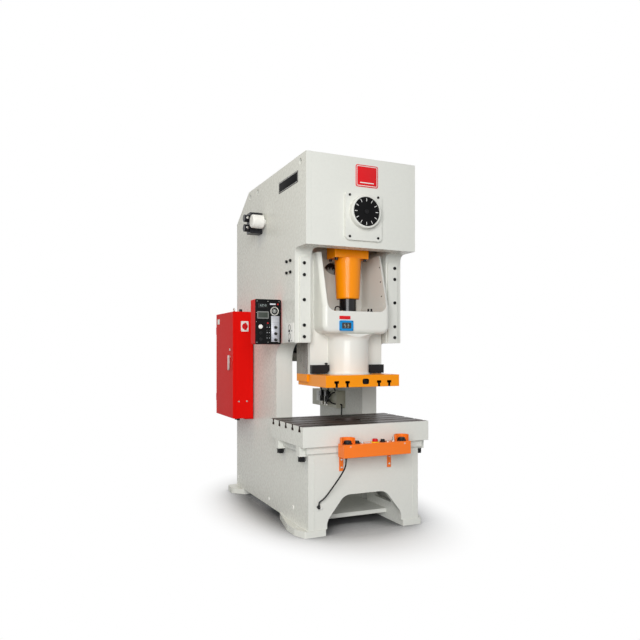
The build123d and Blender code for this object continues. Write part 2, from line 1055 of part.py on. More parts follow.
def slide_plate():
    """Die plate under the slide, with ears under the ways, T-slots and the shank hole."""
    bottom = slide_bottom - die_plate_thick
    half = die_plate_half_width
    plate = block((-half, half), (die_plate_front, die_plate_rear), (bottom, slide_bottom))
    ear_reach = upright_inner - body_gap
    ear_z = (slide_bottom - die_plate_ear_thick, slide_bottom)
    plate += block((-ear_reach, ear_reach), (way_front, way_rear), ear_z)
    foot_bottom = bottom + plate_slot_depth - plate_slot_foot_height
    for x in plate_slot_x:
        neck = (x - plate_slot_neck / 2, x + plate_slot_neck / 2)
        foot_span = (x - plate_slot_foot / 2, x + plate_slot_foot / 2)
        plate -= block(neck, (die_plate_front, way_rear), (bottom, foot_bottom))
        plate -= block(foot_span, (die_plate_front, way_rear), (foot_bottom, bottom + plate_slot_depth))
    plate -= bar_z(0, slide_y, (bottom, bottom + shank_hole_depth), shank_hole_radius)
    recess = RectangleRounded(clamp_recess_width, clamp_recess_height, clamp_recess_corner)
    recess_y = (die_plate_front, die_plate_front + clamp_recess_depth)
    return plate - along_y(Pos(clamp_recess_x, clamp_recess_z) * recess, recess_y)


def slide_ways():
    way_x = (-upright_inner + body_gap, -slide_half_width)
    way = block(way_x, (way_front, way_rear), (slide_bottom, slide_top))
    return both_sides(way)


def oil_trays():
    """Black boxes that catch oil at the foot of the guides."""
    bottom = slide_bottom + tray_lift
    top = bottom + tray_height
    face = outline(
        [
            (-slide_half_width, bottom),
            (-tray_inner - tray_chamfer, bottom),
            (-tray_inner, bottom + tray_chamfer),
            (-tray_inner, top),
            (-slide_half_width, top),
        ]
    )
    return both_sides(along_y(face, (tray_front, slide_guide_front)))


def display_box():
    """Die height display on the front of the slide."""
    place = Pos(display_x, display_z)
    front = slide_box_front - display_depth
    face = place * RectangleRounded(display_width, display_height, display_border / 2)
    box = along_y(face, (front, slide_box_front))
    width, height = display_width - 2 * display_border, display_height - 2 * display_border
    window = place * RectangleRounded(width, height, display_border / 4)
    return box - along_y(window, (front, front + display_inset))


# Connecting rod


def ball_screw():
    ball = Pos(0, slide_y, ball_height) * Sphere(ball_radius)
    neck = bar_z(0, slide_y, (ball_height, screw_top), screw_radius)
    return ball + neck


def connecting_rod():
    """Tapered rod, bored for the screw, with the flange that carries the strap."""
    taper = Pos(0, slide_y, rod_bottom) * Cone(
        rod_bottom_radius,
        rod_top_radius,
        flange_bottom - rod_bottom,
        align=(Align.CENTER, Align.CENTER, Align.MIN),
    )
    taper = chamfer(taper.edges().sort_by(Axis.Z)[0], rod_mouth_chamfer)
    flange = block(
        (-flange_half_width, flange_half_width),
        (slide_y - rod_width / 2, slide_y + rod_width / 2),
        (flange_bottom, flange_top),
    )
    flange = fillet(flange.edges().filter_by(Axis.Z), flange_corner)
    bore_top = screw_top + body_gap
    bore = bar_z(0, slide_y, (rod_bottom, bore_top), screw_radius + running_fit)
    return taper + flange - bore


def rod_strap():
    """Bearing housing over the crank pin, bolted down on the flange."""
    y = (slide_y - rod_width / 2, slide_y + rod_width / 2)
    half = flange_half_width
    face = make_face(
        [
            Line((-half, flange_top), (half, flange_top)),
            Line((half, flange_top), (half, pin_height)),
            ThreePointArc((half, pin_height), (0, pin_height + half), (-half, pin_height)),
            Line((-half, pin_height), (-half, flange_top)),
        ]
    )
    strap = along_y(face, y)
    return strap - bar_y(0, y, pin_height, pin_radius)


def rod_screws():
    screws = []
    for side in (-1, 1):
        y = slide_y + side * rod_screw_y
        span = (flange_bottom - rod_screw_height, flange_bottom)
        screws += both_sides(bar_z(-rod_screw_x, y, span, rod_screw_radius))
    return screws


def crank_pin():
    y = (slide_y - pin_half_length, slide_y + pin_half_length)
    return bar_y(0, y, pin_height, pin_radius)


def crankshaft():
    """Front and rear halves with their webs; the pin between them is a node of its own."""
    journal_front = head_front + front_journal_inset
    front = join(
        [
            bar_y(0, (front_web_face, front_web_face + web_thick), crank_height, web_radius),
            bar_y(0, (journal_front, front_web_face), crank_height, front_journal_radius),
            bar_y(0, (dial_disc_rear(), journal_front), crank_height, dial_shaft_radius),
        ]
    )
    rear_end = rear_wall_front + rear_wall_thick + rear_journal_overhang
    rear = join(
        [
            bar_y(0, (rear_web_face - web_thick, rear_web_face), crank_height, web_radius),
            bar_y(0, (rear_web_face, gear_front + gear_face), crank_height, middle_journal_radius),
            bar_y(0, (gear_front + gear_face, rear_end), crank_height, rear_journal_radius),
        ]
    )
    return [front, rear]


# Gear train


def involute_tooth(teeth, points):
    """Half angles and radii along one flank, from root to tip."""
    pitch = gear_module * teeth / 2
    base = pitch * cos(radians(pressure_angle))
    root = pitch - 1.25 * gear_module
    tip = pitch + gear_module
    start = max(root, base)
    alpha = radians(pressure_angle)
    half = pi / (2 * teeth) - backlash / (4 * pitch)
    flank = []
    for i in range(points):
        radius = start + (tip - start) * i / (points - 1)
        angle = acos(min(1, base / radius))
        flank.append((radius, half + (tan(alpha) - alpha) - (tan(angle) - angle)))
    if root < start:
        flank.insert(0, (root, flank[0][1]))
    return flank


def gear_outline(teeth, points, first_tooth):
    """Closed outline of a spur gear; first_tooth is the direction of one tooth in degrees."""
    flank = involute_tooth(teeth, points)
    corners = []
    for i in range(teeth):
        middle = radians(first_tooth) + 2 * pi * i / teeth
        corners += [(r * cos(middle - a), r * sin(middle - a)) for r, a in flank]
        corners += [(r * cos(middle + a), r * sin(middle + a)) for r, a in reversed(flank)]
    return make_face(Polyline(*corners, close=True))


def main_gear():
    """Gear with a recessed web and round openings, keyed on the crankshaft."""
    y = (gear_front, gear_front + gear_face)
    root = gear_module * gear_teeth / 2 - 1.25 * gear_module
    gear = along_y(Pos(0, crank_height) * gear_outline(gear_teeth, 3, -90), y)
    recess_outer = root - gear_rim_width
    for side in ((y[0], y[0] + gear_recess), (y[1] - gear_recess, y[1])):
        gear -= ring_y(0, side, crank_height, recess_outer, gear_hub_radius)
    middle = (recess_outer + gear_hub_radius) / 2
    for i in range(gear_hole_count):
        angle = 2 * pi * i / gear_hole_count
        gear -= bar_y(middle * cos(angle), y, crank_height + middle * sin(angle), gear_hole_radius)
    return gear - bar_y(0, y, crank_height, middle_journal_radius)


def pinion_shaft():
    """Pinion cut on its shaft, with the clutch drum behind the flywheel."""
    first_tooth = 90 + 180 / pinion_teeth
    teeth_y = (gear_front - pinion_overhang, gear_front + gear_face + pinion_overhang)
    pinion = along_y(Pos(0, pinion_height) * gear_outline(pinion_teeth, 3, first_tooth), teeth_y)
    shaft = bar_y(0, (teeth_y[1], shaft_end), pinion_height, pinion_shaft_radius)
    return pinion + shaft


def clutch_drum():
    """Air clutch and brake drum, keyed on the shaft behind the flywheel."""
    front = flywheel_front + flywheel_width + body_gap
    rear = front + clutch_length
    drum = bar_y(0, (front, rear), pinion_height, clutch_radius)
    drum = chamfer(drum.edges().filter_by(GeomType.CIRCLE).sort_by(Axis.Y)[-1], clutch_chamfer)
    drum += bar_y(0, (rear, rear + clutch_cap_length), pinion_height, clutch_cap_radius)
    return drum - bar_y(0, (front, rear + clutch_cap_length), pinion_height, pinion_shaft_radius)


def belt_middles():
    middle = flywheel_front + flywheel_width / 2
    return [middle + (i - (belt_count - 1) / 2) * belt_pitch for i in range(belt_count)]


def grooves(height, pitch_radius, radius):
    """Ring cuts for the belts."""
    floor = pitch_radius - belt_half_height - body_gap
    half = belt_width / 2 + body_gap
    return [ring_y(0, (y - half, y + half), height, radius + 1, floor) for y in belt_middles()]


def flywheel():
    y = (flywheel_front, flywheel_front + flywheel_width)
    wheel = bar_y(0, y, pinion_height, flywheel_radius)
    recess = (flywheel_width - flywheel_web) / 2
    for side in ((y[0], y[0] + recess), (y[1] - recess, y[1])):
        wheel -= ring_y(0, side, pinion_height, flywheel_radius - flywheel_rim, flywheel_hub_radius)
    for groove in grooves(pinion_height, flywheel_pitch_radius, flywheel_radius):
        wheel -= groove
    return wheel - bar_y(0, y, pinion_height, pinion_shaft_radius + running_fit)


def motor_pulley():
    y = (flywheel_front, flywheel_front + flywheel_width)
    pulley = bar_y(0, y, motor_height, pulley_radius)
    for groove in grooves(motor_height, pulley_pitch_radius, pulley_radius):
        pulley -= groove
    return pulley + bar_y(0, (motor_rear - motor_shaft_depth, y[0]), motor_height, motor_shaft_radius)


def belt_loop(offset):
    """Outline round both wheels at a distance from the belt's pitch line, from two tangents and two arcs."""
    big = flywheel_pitch_radius + offset
    small = pulley_pitch_radius + offset
    lean = acos((big - small) / motor_drop)
    side_x, side_z = sin(lean), -cos(lean)
    high = (big * side_x, pinion_height + big * side_z)
    low = (small * side_x, motor_height + small * side_z)
    return make_face(
        [
            Line(high, low),
            ThreePointArc(low, (0, motor_height - small), (-low[0], low[1])),
            Line((-low[0], low[1]), (-high[0], high[1])),
            ThreePointArc((-high[0], high[1]), (0, pinion_height + big), high),
        ]
    )


def v_belts():
    loop = belt_loop(belt_half_height) - belt_loop(-belt_half_height)
    return [along_y(loop, (y - belt_width / 2, y + belt_width / 2)) for y in belt_middles()]


def motor():
    """Foot-mounted motor with lengthwise cooling ribs and a terminal box."""
    y = (motor_front, motor_rear)
    body = bar_y(0, y, motor_height, motor_radius - motor_rib_height)
    rib_y = (y[0] + motor_end_cap, y[1] - motor_end_cap)
    rib_x = (motor_radius - 2 * motor_rib_height, motor_radius)
    rib = block(rib_x, rib_y, (-motor_rib_half_thick, motor_rib_half_thick))
    for i in range(motor_rib_count):
        body += Pos(0, 0, motor_height) * Rot(0, 360 * (i + 0.5) / motor_rib_count, 0) * rib
    foot_bottom = motor_mount_top()
    foot_y = (y[0] + motor_foot_margin, y[1] - motor_foot_margin)
    body += block((-motor_radius, motor_radius), foot_y, (foot_bottom, foot_bottom + motor_foot_thick))
    box_bottom = motor_height + motor_radius - terminal_box_sink
    box_front = y[0] + terminal_box_front
    body += block(
        (-terminal_box_size / 2, terminal_box_size / 2),
        (box_front, box_front + terminal_box_size),
        (box_bottom, box_bottom + terminal_box_height),
    )
    bore_y = (y[1] - motor_shaft_depth - body_gap, y[1])
    return body - bar_y(0, bore_y, motor_height, motor_shaft_radius + running_fit)


def motor_mount_top():
    return motor_height - motor_radius - motor_foot_height


def motor_mount():
    top = motor_mount_top()
    span = (motor_mount_front, motor_mount_rear)
    return block((-side_inner, side_inner), span, (top - motor_mount_thick, top))


def rear_guard():
    """Sheet guard over the flywheel and belts, with two columns of ventilation slots."""
    y = (guard_y, guard_y + guard_thick)
    panel = block((-side_inner, side_inner), y, (guard_bottom, guard_top))
    middle = (guard_bottom + guard_top) / 2
    for row in range(louvre_rows):
        z = middle + (row - (louvre_rows - 1) / 2) * louvre_pitch
        for side in (-1, 1):
            x = side * side_inner / 2
            slot_x = (x - louvre_half_length, x + louvre_half_length)
            panel -= block(slot_x, y, (z - louvre_height / 2, z + louvre_height / 2))
    return panel


# Dial


def dial_disc_rear():
    face = head_front - dial_plate_thick - dial_ring_reach
    return face + dial_disc_inset + dial_disc_thick


def dial_housing():
    """Plate with a raised ring round the dial."""
    height = dial_top - dial_bottom
    face = Pos(0, (dial_top + dial_bottom) / 2) * RectangleRounded(2 * dial_half_width, height, dial_corner)
    plate_y = (head_front - dial_plate_thick, head_front)
    housing = along_y(face, plate_y)
    ring_front = plate_y[0] - dial_ring_reach
    ring = bar_y(0, (ring_front, plate_y[0]), crank_height, dial_ring_radius)
    ring = fillet(ring.edges().filter_by(GeomType.CIRCLE).sort_by(Axis.Y)[0], dial_ring_edge)
    housing = housing + ring
    floor = dial_disc_rear() + body_gap
    housing -= bar_y(0, (ring_front, floor), crank_height, dial_ring_bore)
    return housing - bar_y(0, (floor, head_front), crank_height, dial_shaft_radius + running_fit)


def dial_disc():
    rear = dial_disc_rear()
    return bar_y(0, (rear - dial_disc_thick, rear), crank_height, dial_disc_radius)


# Cabinet


def cabinet_shell():
    """Sheet cabinet, open on the side that the door closes, with its brackets and hinge pins."""
    door_plane = cabinet_outer + door_thick + body_gap
    inner = -frame_half_width - cabinet_gap
    y = (cabinet_front, cabinet_rear)
    z = (cabinet_bottom, cabinet_top)
    shell = block((door_plane, inner), y, z)
    shell -= block(
        (door_plane, inner - cabinet_wall),
        (y[0] + cabinet_wall, y[1] - cabinet_wall),
        (z[0] + cabinet_wall, z[1] - cabinet_wall),
    )
    shell -= bar_y(isolator_x, (y[0], y[0] + cabinet_wall), isolator_z, handle_shaft_radius + running_fit)
    pieces = [shell]
    bracket_y = (y[0] + bracket_margin, y[1] - bracket_margin)
    for bracket_z in (z[0] + bracket_margin, z[1] - upper_bracket_drop):
        span = (bracket_z, bracket_z + bracket_height)
        pieces.append(block((inner, -frame_half_width), bracket_y, span))
    arm_z = (z[0] - cabinet_arm_thick, z[0])
    for arm_y in cabinet_arm_y:
        span = (arm_y, arm_y + cabinet_arm_reach)
        pieces.append(block((inner - cabinet_arm_reach, -frame_half_width), span, arm_z))
    for height in hinge_heights:
        pieces += hinge_lugs(height, door_plane)
    return join(pieces)


def hinge_lugs(height, door_plane):
    """Pin of one hinge with the two ears that carry it, above and below the door's knuckle."""
    x = cabinet_outer + door_thick / 2
    y = cabinet_rear + hinge_offset
    reach = hinge_half_length + hinge_lug_height
    pieces = [bar_z(x, y, (height - reach, height + reach), hinge_pin_radius)]
    leaf = (door_plane, door_plane + hinge_leaf_reach)
    for low in (height - reach, height + hinge_half_length):
        span = (low, low + hinge_lug_height)
        pieces.append(bar_z(x, y, span, hinge_knuckle_radius))
        pieces.append(block((x, leaf[1]), (y - hinge_knuckle_radius, y + hinge_knuckle_radius), span))
        pieces.append(block(leaf, (cabinet_rear, y), span))
    return pieces


def cabinet_door():
    """Folded door with a rim, hung on two knuckles."""
    y = (cabinet_front, cabinet_rear)
    z = (cabinet_bottom, cabinet_top)
    x = (cabinet_outer, cabinet_outer + door_thick)
    door = block(x, y, z)
    door = fillet(door.edges().group_by(Axis.X)[0], door_edge)
    door -= block(
        (x[0] + cabinet_wall, x[1]),
        (y[0] + cabinet_wall, y[1] - cabinet_wall),
        (z[0] + cabinet_wall, z[1] - cabinet_wall),
    )
    door -= bar_x((x[0], x[0] + cabinet_wall), handle_y, handle_pivot, handle_shaft_radius + running_fit)
    hinge_x = cabinet_outer + door_thick / 2
    hinge_y = cabinet_rear + hinge_offset
    for height in hinge_heights:
        span = (height - hinge_half_length + body_gap, height + hinge_half_length - body_gap)
        door += bar_z(hinge_x, hinge_y, span, hinge_knuckle_radius)
        leaf = (hinge_x - hinge_leaf_thick / 2, hinge_x + hinge_leaf_thick / 2)
        door += block(leaf, (cabinet_rear - cabinet_wall, hinge_y), span)
        door -= bar_z(hinge_x, hinge_y, span, hinge_pin_radius + running_fit)
    return door


def door_handle():
    """Lever outside the door, on a shaft with a cam inside it."""
    outer = cabinet_outer
    top = handle_pivot + handle_head
    lever_x = (outer - handle_stand - handle_thick, outer - handle_stand)
    lever_face = RectangleRounded(handle_width, top - handle_bottom, handle_corner)
    lever = along_x(Pos(handle_y, (handle_bottom + top) / 2) * lever_face, lever_x)
    inner_end = outer + door_thick - handle_cam_inset
    shaft = bar_x((lever_x[1], inner_end), handle_y, handle_pivot, handle_shaft_radius)
    collar = bar_x((lever_x[1], outer - body_gap), handle_y, handle_pivot, handle_width / 2)
    cam = block(
        (inner_end - handle_cam_thick, inner_end),
        (handle_y - handle_head, handle_y + handle_head),
        (handle_pivot - handle_cam_drop, top),
    )
    return join([lever, shaft, collar, cam])


def isolator_handle():
    """Turning handle of the main isolator on the cabinet's front."""
    face_y = cabinet_front - body_gap
    disc_front = face_y - isolator_disc
    disc = bar_y(isolator_x, (disc_front, face_y), isolator_z, isolator_radius)
    grip_face = RectangleRounded(isolator_grip_width, isolator_grip_length, isolator_grip_width * 0.4)
    grip_y = (disc_front - isolator_grip_height, disc_front)
    grip = along_y(Pos(isolator_x, isolator_z) * grip_face, grip_y)
    shaft_y = (face_y, cabinet_front + cabinet_wall + isolator_shaft_reach)
    shaft = bar_y(isolator_x, shaft_y, isolator_z, handle_shaft_radius)
    return join([disc, grip, shaft])


# Operator panel


def panel_x(share):
    return panel_outer + share * (panel_inner - panel_outer)


def panel_z(share):
    return panel_top - share * (panel_top - panel_bottom)


def panel_box():
    """Box with a framed face, key pad, dial ring and the bracket that carries it."""
    y = (panel_front, panel_rear)
    face_y = y[0] + panel_inset
    box = block((panel_outer, panel_inner), y, (panel_bottom, panel_top))
    box = fillet(box.edges().filter_by(Axis.Y), panel_corner)
    box -= block(
        (panel_outer + panel_rim, panel_inner - panel_rim),
        (y[0], face_y),
        (panel_bottom + panel_rim, panel_top - panel_rim),
    )
    for column in range(2):
        for row in range(3):
            x = panel_x(key_pad_shares[0] + key_pad_steps[0] * column)
            z = panel_z(key_pad_shares[1] + key_pad_steps[1] * row)
            key_x = (x - key_pad_half_width, x + key_pad_half_width)
            box += block(key_x, (y[0], face_y), (z - key_pad_half_height, z + key_pad_half_height))
    ring_x, ring_z = panel_x(panel_ring_shares[0]), panel_z(panel_ring_shares[1])
    ring_y_span = (y[0] - panel_ring_reach, face_y)
    box += ring_y(ring_x, ring_y_span, ring_z, panel_ring_radius, panel_ring_bore)
    stems = [(knob_x_share, share) for share in knob_z_shares]
    stems += [(selector_x_share, share) for share in (selector_z_share, *key_z_shares)]
    for share_x, share_z in stems:
        hole_y = (face_y, face_y + panel_stem_hole)
        box -= bar_y(panel_x(share_x), hole_y, panel_z(share_z), knob_stem_radius + running_fit)
    arm_y = (y[0] + panel_arm_margin, y[1] - panel_arm_margin)
    return box + block((panel_inner, -frame_half_width), arm_y, panel_arm_z)


def panel_knob(x, z):
    """Turning knob with a stem in the panel's face."""
    face_y = panel_front + panel_inset - body_gap
    cap = bar_y(x, (face_y - knob_reach, face_y), z, knob_radius)
    cap = fillet(cap.edges().filter_by(GeomType.CIRCLE).sort_by(Axis.Y)[0], knob_edge)
    return cap + bar_y(x, (face_y, face_y + panel_stem_depth), z, knob_stem_radius)


def selector():
    """Turning switch: a disc with a bar-shaped grip across it."""
    x, z = panel_x(selector_x_share), panel_z(selector_z_share)
    face_y = panel_front + panel_inset - body_gap
    base_front_y = face_y - selector_base
    cap = bar_y(x, (base_front_y, face_y), z, selector_radius)
    grip_face = RectangleRounded(selector_grip_width, selector_grip_length, selector_grip_width * 0.45)
    grip = along_y(Pos(x, z) * grip_face, (base_front_y - selector_grip_height, base_front_y))
    return join([cap, grip, bar_y(x, (face_y, face_y + panel_stem_depth), z, knob_stem_radius)])


def panel_key(z):
    """Push key; it stands off the face by its travel."""
    x = panel_x(selector_x_share)
    back = panel_front + panel_inset - key_travel - body_gap
    cap = bar_y(x, (back - key_reach, back), z, key_radius)
    cap = fillet(cap.edges().filter_by(GeomType.CIRCLE).sort_by(Axis.Y)[0], key_edge)
    return cap + bar_y(x, (back, back + panel_stem_depth), z, knob_stem_radius)


# Air valve, silencer and junction box


def valve_block():
    """Double valve: a body with two round solenoids and a pipe to the frame."""
    face = -frame_half_width
    body_end = face - valve_reach + solenoid_length
    body = block((body_end, face), valve_y, valve_z)
    body = fillet(body.edges().filter_by(Axis.X), valve_corner)
    middle_y = (valve_y[0] + valve_y[1]) / 2
    for z in (valve_z[0] + solenoid_inset, valve_z[1] - solenoid_inset):
        body += bar_x((face - valve_reach, body_end), middle_y, z, solenoid_radius)
    return body


def valve_silencer():
    """Porous drum on a short neck."""
    face = -frame_half_width
    neck_end = face - silencer_neck_length
    drum = bar_x((face - silencer_reach, neck_end), silencer_y, silencer_z, silencer_radius)
    drum = fillet(drum.edges().filter_by(GeomType.CIRCLE).sort_by(Axis.X)[0], silencer_edge)
    return drum + bar_x((neck_end, face), silencer_y, silencer_z, silencer_neck_radius)


def junction_box():
    """Box on the inside of the right side plate, with two air filter bowls."""
    x = (side_inner - junction_width, side_inner)
    box = block(x, junction_y, junction_z)
    box = fillet(box.edges().filter_by(Axis.X), junction_corner)
    pieces = [box]
    for y in bowl_y:
        head_y = (y - filter_head_half, y + filter_head_half)
        head = block((x[0] - filter_head_reach, x[0]), head_y, filter_head_z)
        bowl_x = x[0] - filter_bowl_offset
        pieces.append(head + bar_z(bowl_x, y, (filter_bowl_bottom, filter_head_z[0]), bowl_radius))
    return pieces


# Two-hand console


def console_y():
    return (console_front + console_rear) / 2


def console_box():
    """Folded box with stem holes, two rounded shields behind the palm buttons, two brackets."""
    x = (-console_half_width, console_half_width)
    y = (console_front, console_rear)
    z = (console_bottom, console_top)
    box = fillet(block(x, y, z).edges().filter_by(Axis.X), console_wall)
    inside = [(low + console_wall, high - console_wall) for low, high in (x, y, z)]
    box -= block(*inside)
    for stem_x in (-palm_x, palm_x, run_button_x, stop_button_x, inch_button_x, toggle_x):
        box -= bar_z(stem_x, console_y(), (inside[2][1], z[1]), button_stem_radius + running_fit)
    pieces = [box]
    for side in (-1, 1):
        strap_x = (side * bracket_x - bracket_width / 2, side * bracket_x + bracket_width / 2)
        strap = block(strap_x, (base_front - bracket_thick, base_front), (bracket_bottom, z[0]))
        shelf = block(strap_x, (y[0] + shelf_inset, base_front), (z[0] - bracket_thick, z[0]))
        pieces += [palm_shield(side * palm_x), strap + shelf]
    return pieces


def palm_shield(x):
    """Rounded shield behind a palm button, open to the front."""
    y = console_y()
    span = (console_top, console_top + guard_ring_height)
    shield = bar_z(x, y, span, guard_ring_radius)
    shield -= bar_z(x, y, span, guard_ring_radius - guard_ring_wall)
    width = (x - guard_ring_radius, x + guard_ring_radius)
    return shield - block(width, (y - guard_ring_radius, y - guard_ring_opening), span)


def palm_button(side):
    """Mushroom button that stands above the box by its travel."""
    x, y = side * palm_x, console_y()
    bottom = console_top + palm_travel + body_gap
    cap = bar_z(x, y, (bottom, bottom + palm_height), palm_radius)
    cap = fillet(cap.edges().filter_by(GeomType.CIRCLE).sort_by(Axis.Z)[-1], palm_edge)
    return cap + bar_z(x, y, (console_top - button_stem_depth, bottom), button_stem_radius)


def push_button(x, radius, height, edge):
    """Mushroom or round button that stands above the box by its travel."""
    y = console_y()
    bottom = console_top + push_travel + body_gap
    cap = bar_z(x, y, (bottom, bottom + height), radius)
    cap = fillet(cap.edges().filter_by(GeomType.CIRCLE).sort_by(Axis.Z)[-1], edge)
    return cap + bar_z(x, y, (console_top - button_stem_depth, bottom), button_stem_radius)


def toggle_switch():
    """Key switch that turns on the console."""
    y = console_y()
    bottom = console_top + body_gap
    base_top = bottom + toggle_base_height
    base = bar_z(toggle_x, y, (bottom, base_top), toggle_base_radius)
    lever = block(
        (toggle_x - toggle_lever_half_thick, toggle_x + toggle_lever_half_thick),
        (y - toggle_lever_half_width, y + toggle_lever_half_width),
        (base_top, base_top + toggle_lever_height),
    )
    stem = bar_z(toggle_x, y, (console_top - button_stem_depth, bottom), button_stem_radius)
    return join([base, lever, stem])


def cable_glands():
    """Gland under the console, elbow on the leg, and two glands under the cabinet."""
    gland_z = (console_bottom - gland_length, console_bottom)
    top = bar_z(console_gland_x, console_gland_y, gland_z, gland_radius)
    elbow = bar_z(leg_gland_x, leg_gland_y, (leg_gland_top - elbow_height, leg_gland_top), gland_radius)
    elbow += bar_y(leg_gland_x, (leg_gland_y, base_front), leg_gland_top - elbow_drop, gland_radius)
    glands = [top, elbow]
    low = cabinet_bottom - cabinet_gland_length
    for gland_y in cabinet_gland_y:
        glands.append(bar_z(cabinet_gland_x, gland_y, (low, cabinet_bottom), cabinet_gland_radius))
    return glands


def cable_radii():
    """Each corner's radius: 0.45 of the shorter run beside it, over the tangent of half the turn."""
    points = [Vector(*p) for p in cable_route]
    radii = []
    for before, corner, after in zip(points, points[1:], points[2:]):
        first, second = corner - before, after - corner
        turn = radians(first.get_angle(second))
        radii.append(0.45 * min(first.length, second.length) / tan(turn / 2))
    return radii


def control_cable():
    path = FilletPolyline(*cable_route, radius=cable_radii())
    start = Plane(origin=path @ 0, z_dir=path % 0)
    cable = sweep(start * Circle(cable_radius), path)
    section = pi * cable_radius**2
    print("cable length", round(path.length, 1), "radii", [round(r, 1) for r in cable_radii()])
    print("cable volume", round(cable.volume), "section times length", round(section * path.length))
    return cable


left_plate = side_plate()
save("side_plate_left", left_plate)
save("side_plate_right", other_side(left_plate))
save("columns", *both_sides(column()))
save("front_legs", *both_sides(front_leg()))
save("foot_plates", *feet())
save("bed_front_plate", bed_front())
save("bed_plate", bed_plate(), *lugs())
save("base_tie_plate", base_tie_plate())
save("bolster", table())
save("head_front_plate", head_front_plate())
save("head_cover", head_cover())
save("bearing_walls", middle_wall(), oil_wall(), rear_wall(), drive_wall())
save("shaft_bearings", *crank_bushes(), *pinion_bearings())
save("guide_strips", *guide_strips())
save("frame_screws", *frame_screws())
save("dial_housing", dial_housing())
save("motor_mount", motor_mount())
save("motor", motor())
save("rear_guard", rear_guard())
save("v_belts", *v_belts())
save("valve_block", valve_block())
save("valve_silencer", valve_silencer())
save("cabinet_shell", cabinet_shell())
save("cabinet_door", cabinet_door())
save("door_handle", door_handle())
save("isolator_handle", isolator_handle())
save("panel_box", panel_box())
for name, share in zip(("upper", "middle", "lower"), knob_z_shares):
    save(f"panel_knob_{name}", panel_knob(panel_x(knob_x_share), panel_z(share)))
save("mode_selector", selector())
for name, share in zip(("upper", "lower"), key_z_shares):
    save(f"panel_key_{name}", panel_key(panel_z(share)))
save("junction_box", *junction_box())
save("slide_body", slide_body())
save("slide_plate", slide_plate())
save("slide_ways", *slide_ways())
save("slide_boxes", *oil_trays(), display_box())
save("ball_retainer", ball_retainer())
save("ball_screw", ball_screw())
save("connecting_rod", connecting_rod())
save("rod_strap", rod_strap())
save("rod_screws", *rod_screws())
save("crank_pin", crank_pin())
save("crankshaft", *crankshaft())
save("main_gear", main_gear())
save("dial_disc", dial_disc())
save("pinion_shaft", pinion_shaft())
save("clutch_drum", clutch_drum())
save("flywheel", flywheel())
save("motor_pulley", motor_pulley())
save("console_box", *console_box())
save("palm_button_left", palm_button(-1))
save("palm_button_right", palm_button(1))
save("run_button", push_button(run_button_x, push_button_radius, push_height, push_edge))
save("stop_button", push_button(stop_button_x, stop_radius, stop_height, stop_edge))
save("inch_button", push_button(inch_button_x, push_button_radius, push_height, push_edge))
save("toggle_switch", toggle_switch())
save("cable_glands", *cable_glands())
save("control_cable", control_cable())
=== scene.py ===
# %% [markdown]
# # Dressing a stamping press
# The press is already modelled as solids. This lesson gives those solids their finishes and adds
# what is too small or too thin for the solid model: screws with sockets, buttons, displays, hoses,
# weld beads and plates. Everything is in metres, in the same frame as the solids, so a piece goes
# where the solid says. Sizes below are written in millimetres and scaled once, because that is how
# a machine drawing gives them.

# %% Load the frame
from math import atan2, cos, degrees, pi, radians, sin

import bmesh
import bpy
from mathutils import Matrix, Vector


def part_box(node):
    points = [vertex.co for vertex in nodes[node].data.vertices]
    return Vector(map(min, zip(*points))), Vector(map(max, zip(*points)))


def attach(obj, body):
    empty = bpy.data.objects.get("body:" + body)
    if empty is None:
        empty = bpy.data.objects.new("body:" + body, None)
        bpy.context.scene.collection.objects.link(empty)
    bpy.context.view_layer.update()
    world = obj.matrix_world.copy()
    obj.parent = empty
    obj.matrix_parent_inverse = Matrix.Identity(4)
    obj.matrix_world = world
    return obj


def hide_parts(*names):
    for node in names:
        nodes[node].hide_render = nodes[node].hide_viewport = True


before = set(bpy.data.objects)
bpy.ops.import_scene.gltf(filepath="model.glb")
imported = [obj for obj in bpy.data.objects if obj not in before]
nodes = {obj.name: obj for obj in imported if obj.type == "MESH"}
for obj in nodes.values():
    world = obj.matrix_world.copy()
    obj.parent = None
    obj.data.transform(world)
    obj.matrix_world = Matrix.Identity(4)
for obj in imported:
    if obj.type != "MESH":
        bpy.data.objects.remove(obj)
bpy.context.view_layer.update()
MM = 0.001

# %% [markdown]
# ## Camera
# The photograph was taken at eye level from the front left, about 5 m away, with the camera level
# and its lens shifted. A level camera keeps upright edges upright, so the press does not lean.
# Turning the camera and shifting the lens are separate things: the turn sets which sides show,
# the shift only slides the picture.

# %% Camera
CAMERA_PLACE = (-2130, -4826, 1278)
CAMERA_HEADING = 24.5
CAMERA_LENS = 35.66
CAMERA_SHIFT = (-0.0078, 0.0484)

camera_data = bpy.data.cameras.new("camera")
camera_data.lens = CAMERA_LENS
camera_data.shift_x, camera_data.shift_y = CAMERA_SHIFT
camera = bpy.data.objects.new("camera", camera_data)
camera.location = Vector(CAMERA_PLACE) * MM
camera.rotation_euler = (radians(90), 0, radians(-CAMERA_HEADING))
bpy.context.scene.collection.objects.link(camera)
bpy.context.scene.camera = camera
bpy.context.scene.view_settings.view_transform = "Standard"
print("camera", tuple(camera.location), "lens", camera_data.lens)

# %% [markdown]
# ## Shader helpers
# Each finish is a small network of nodes. A few helpers keep the networks short: one adds a node
# and sets its values, one starts a shader group with named sockets, and the others mix colours,
# carry values from one range to another and make noise. An effect that several finishes share, such
# as sprayed paint or rubbed edges, is a group that is built once and placed in each material with
# its own values.

# %% Shader helpers
def add(tree, kind, inputs=(), **settings):
    """A node; inputs are pairs of socket name or number and a value or another node's socket."""
    node = tree.nodes.new("ShaderNode" + kind)
    for name, value in settings.items():
        setattr(node, name, value)
    for socket, value in inputs:
        if isinstance(value, bpy.types.NodeSocket):
            tree.links.new(value, node.inputs[socket])
        else:
            node.inputs[socket].default_value = value
    return node


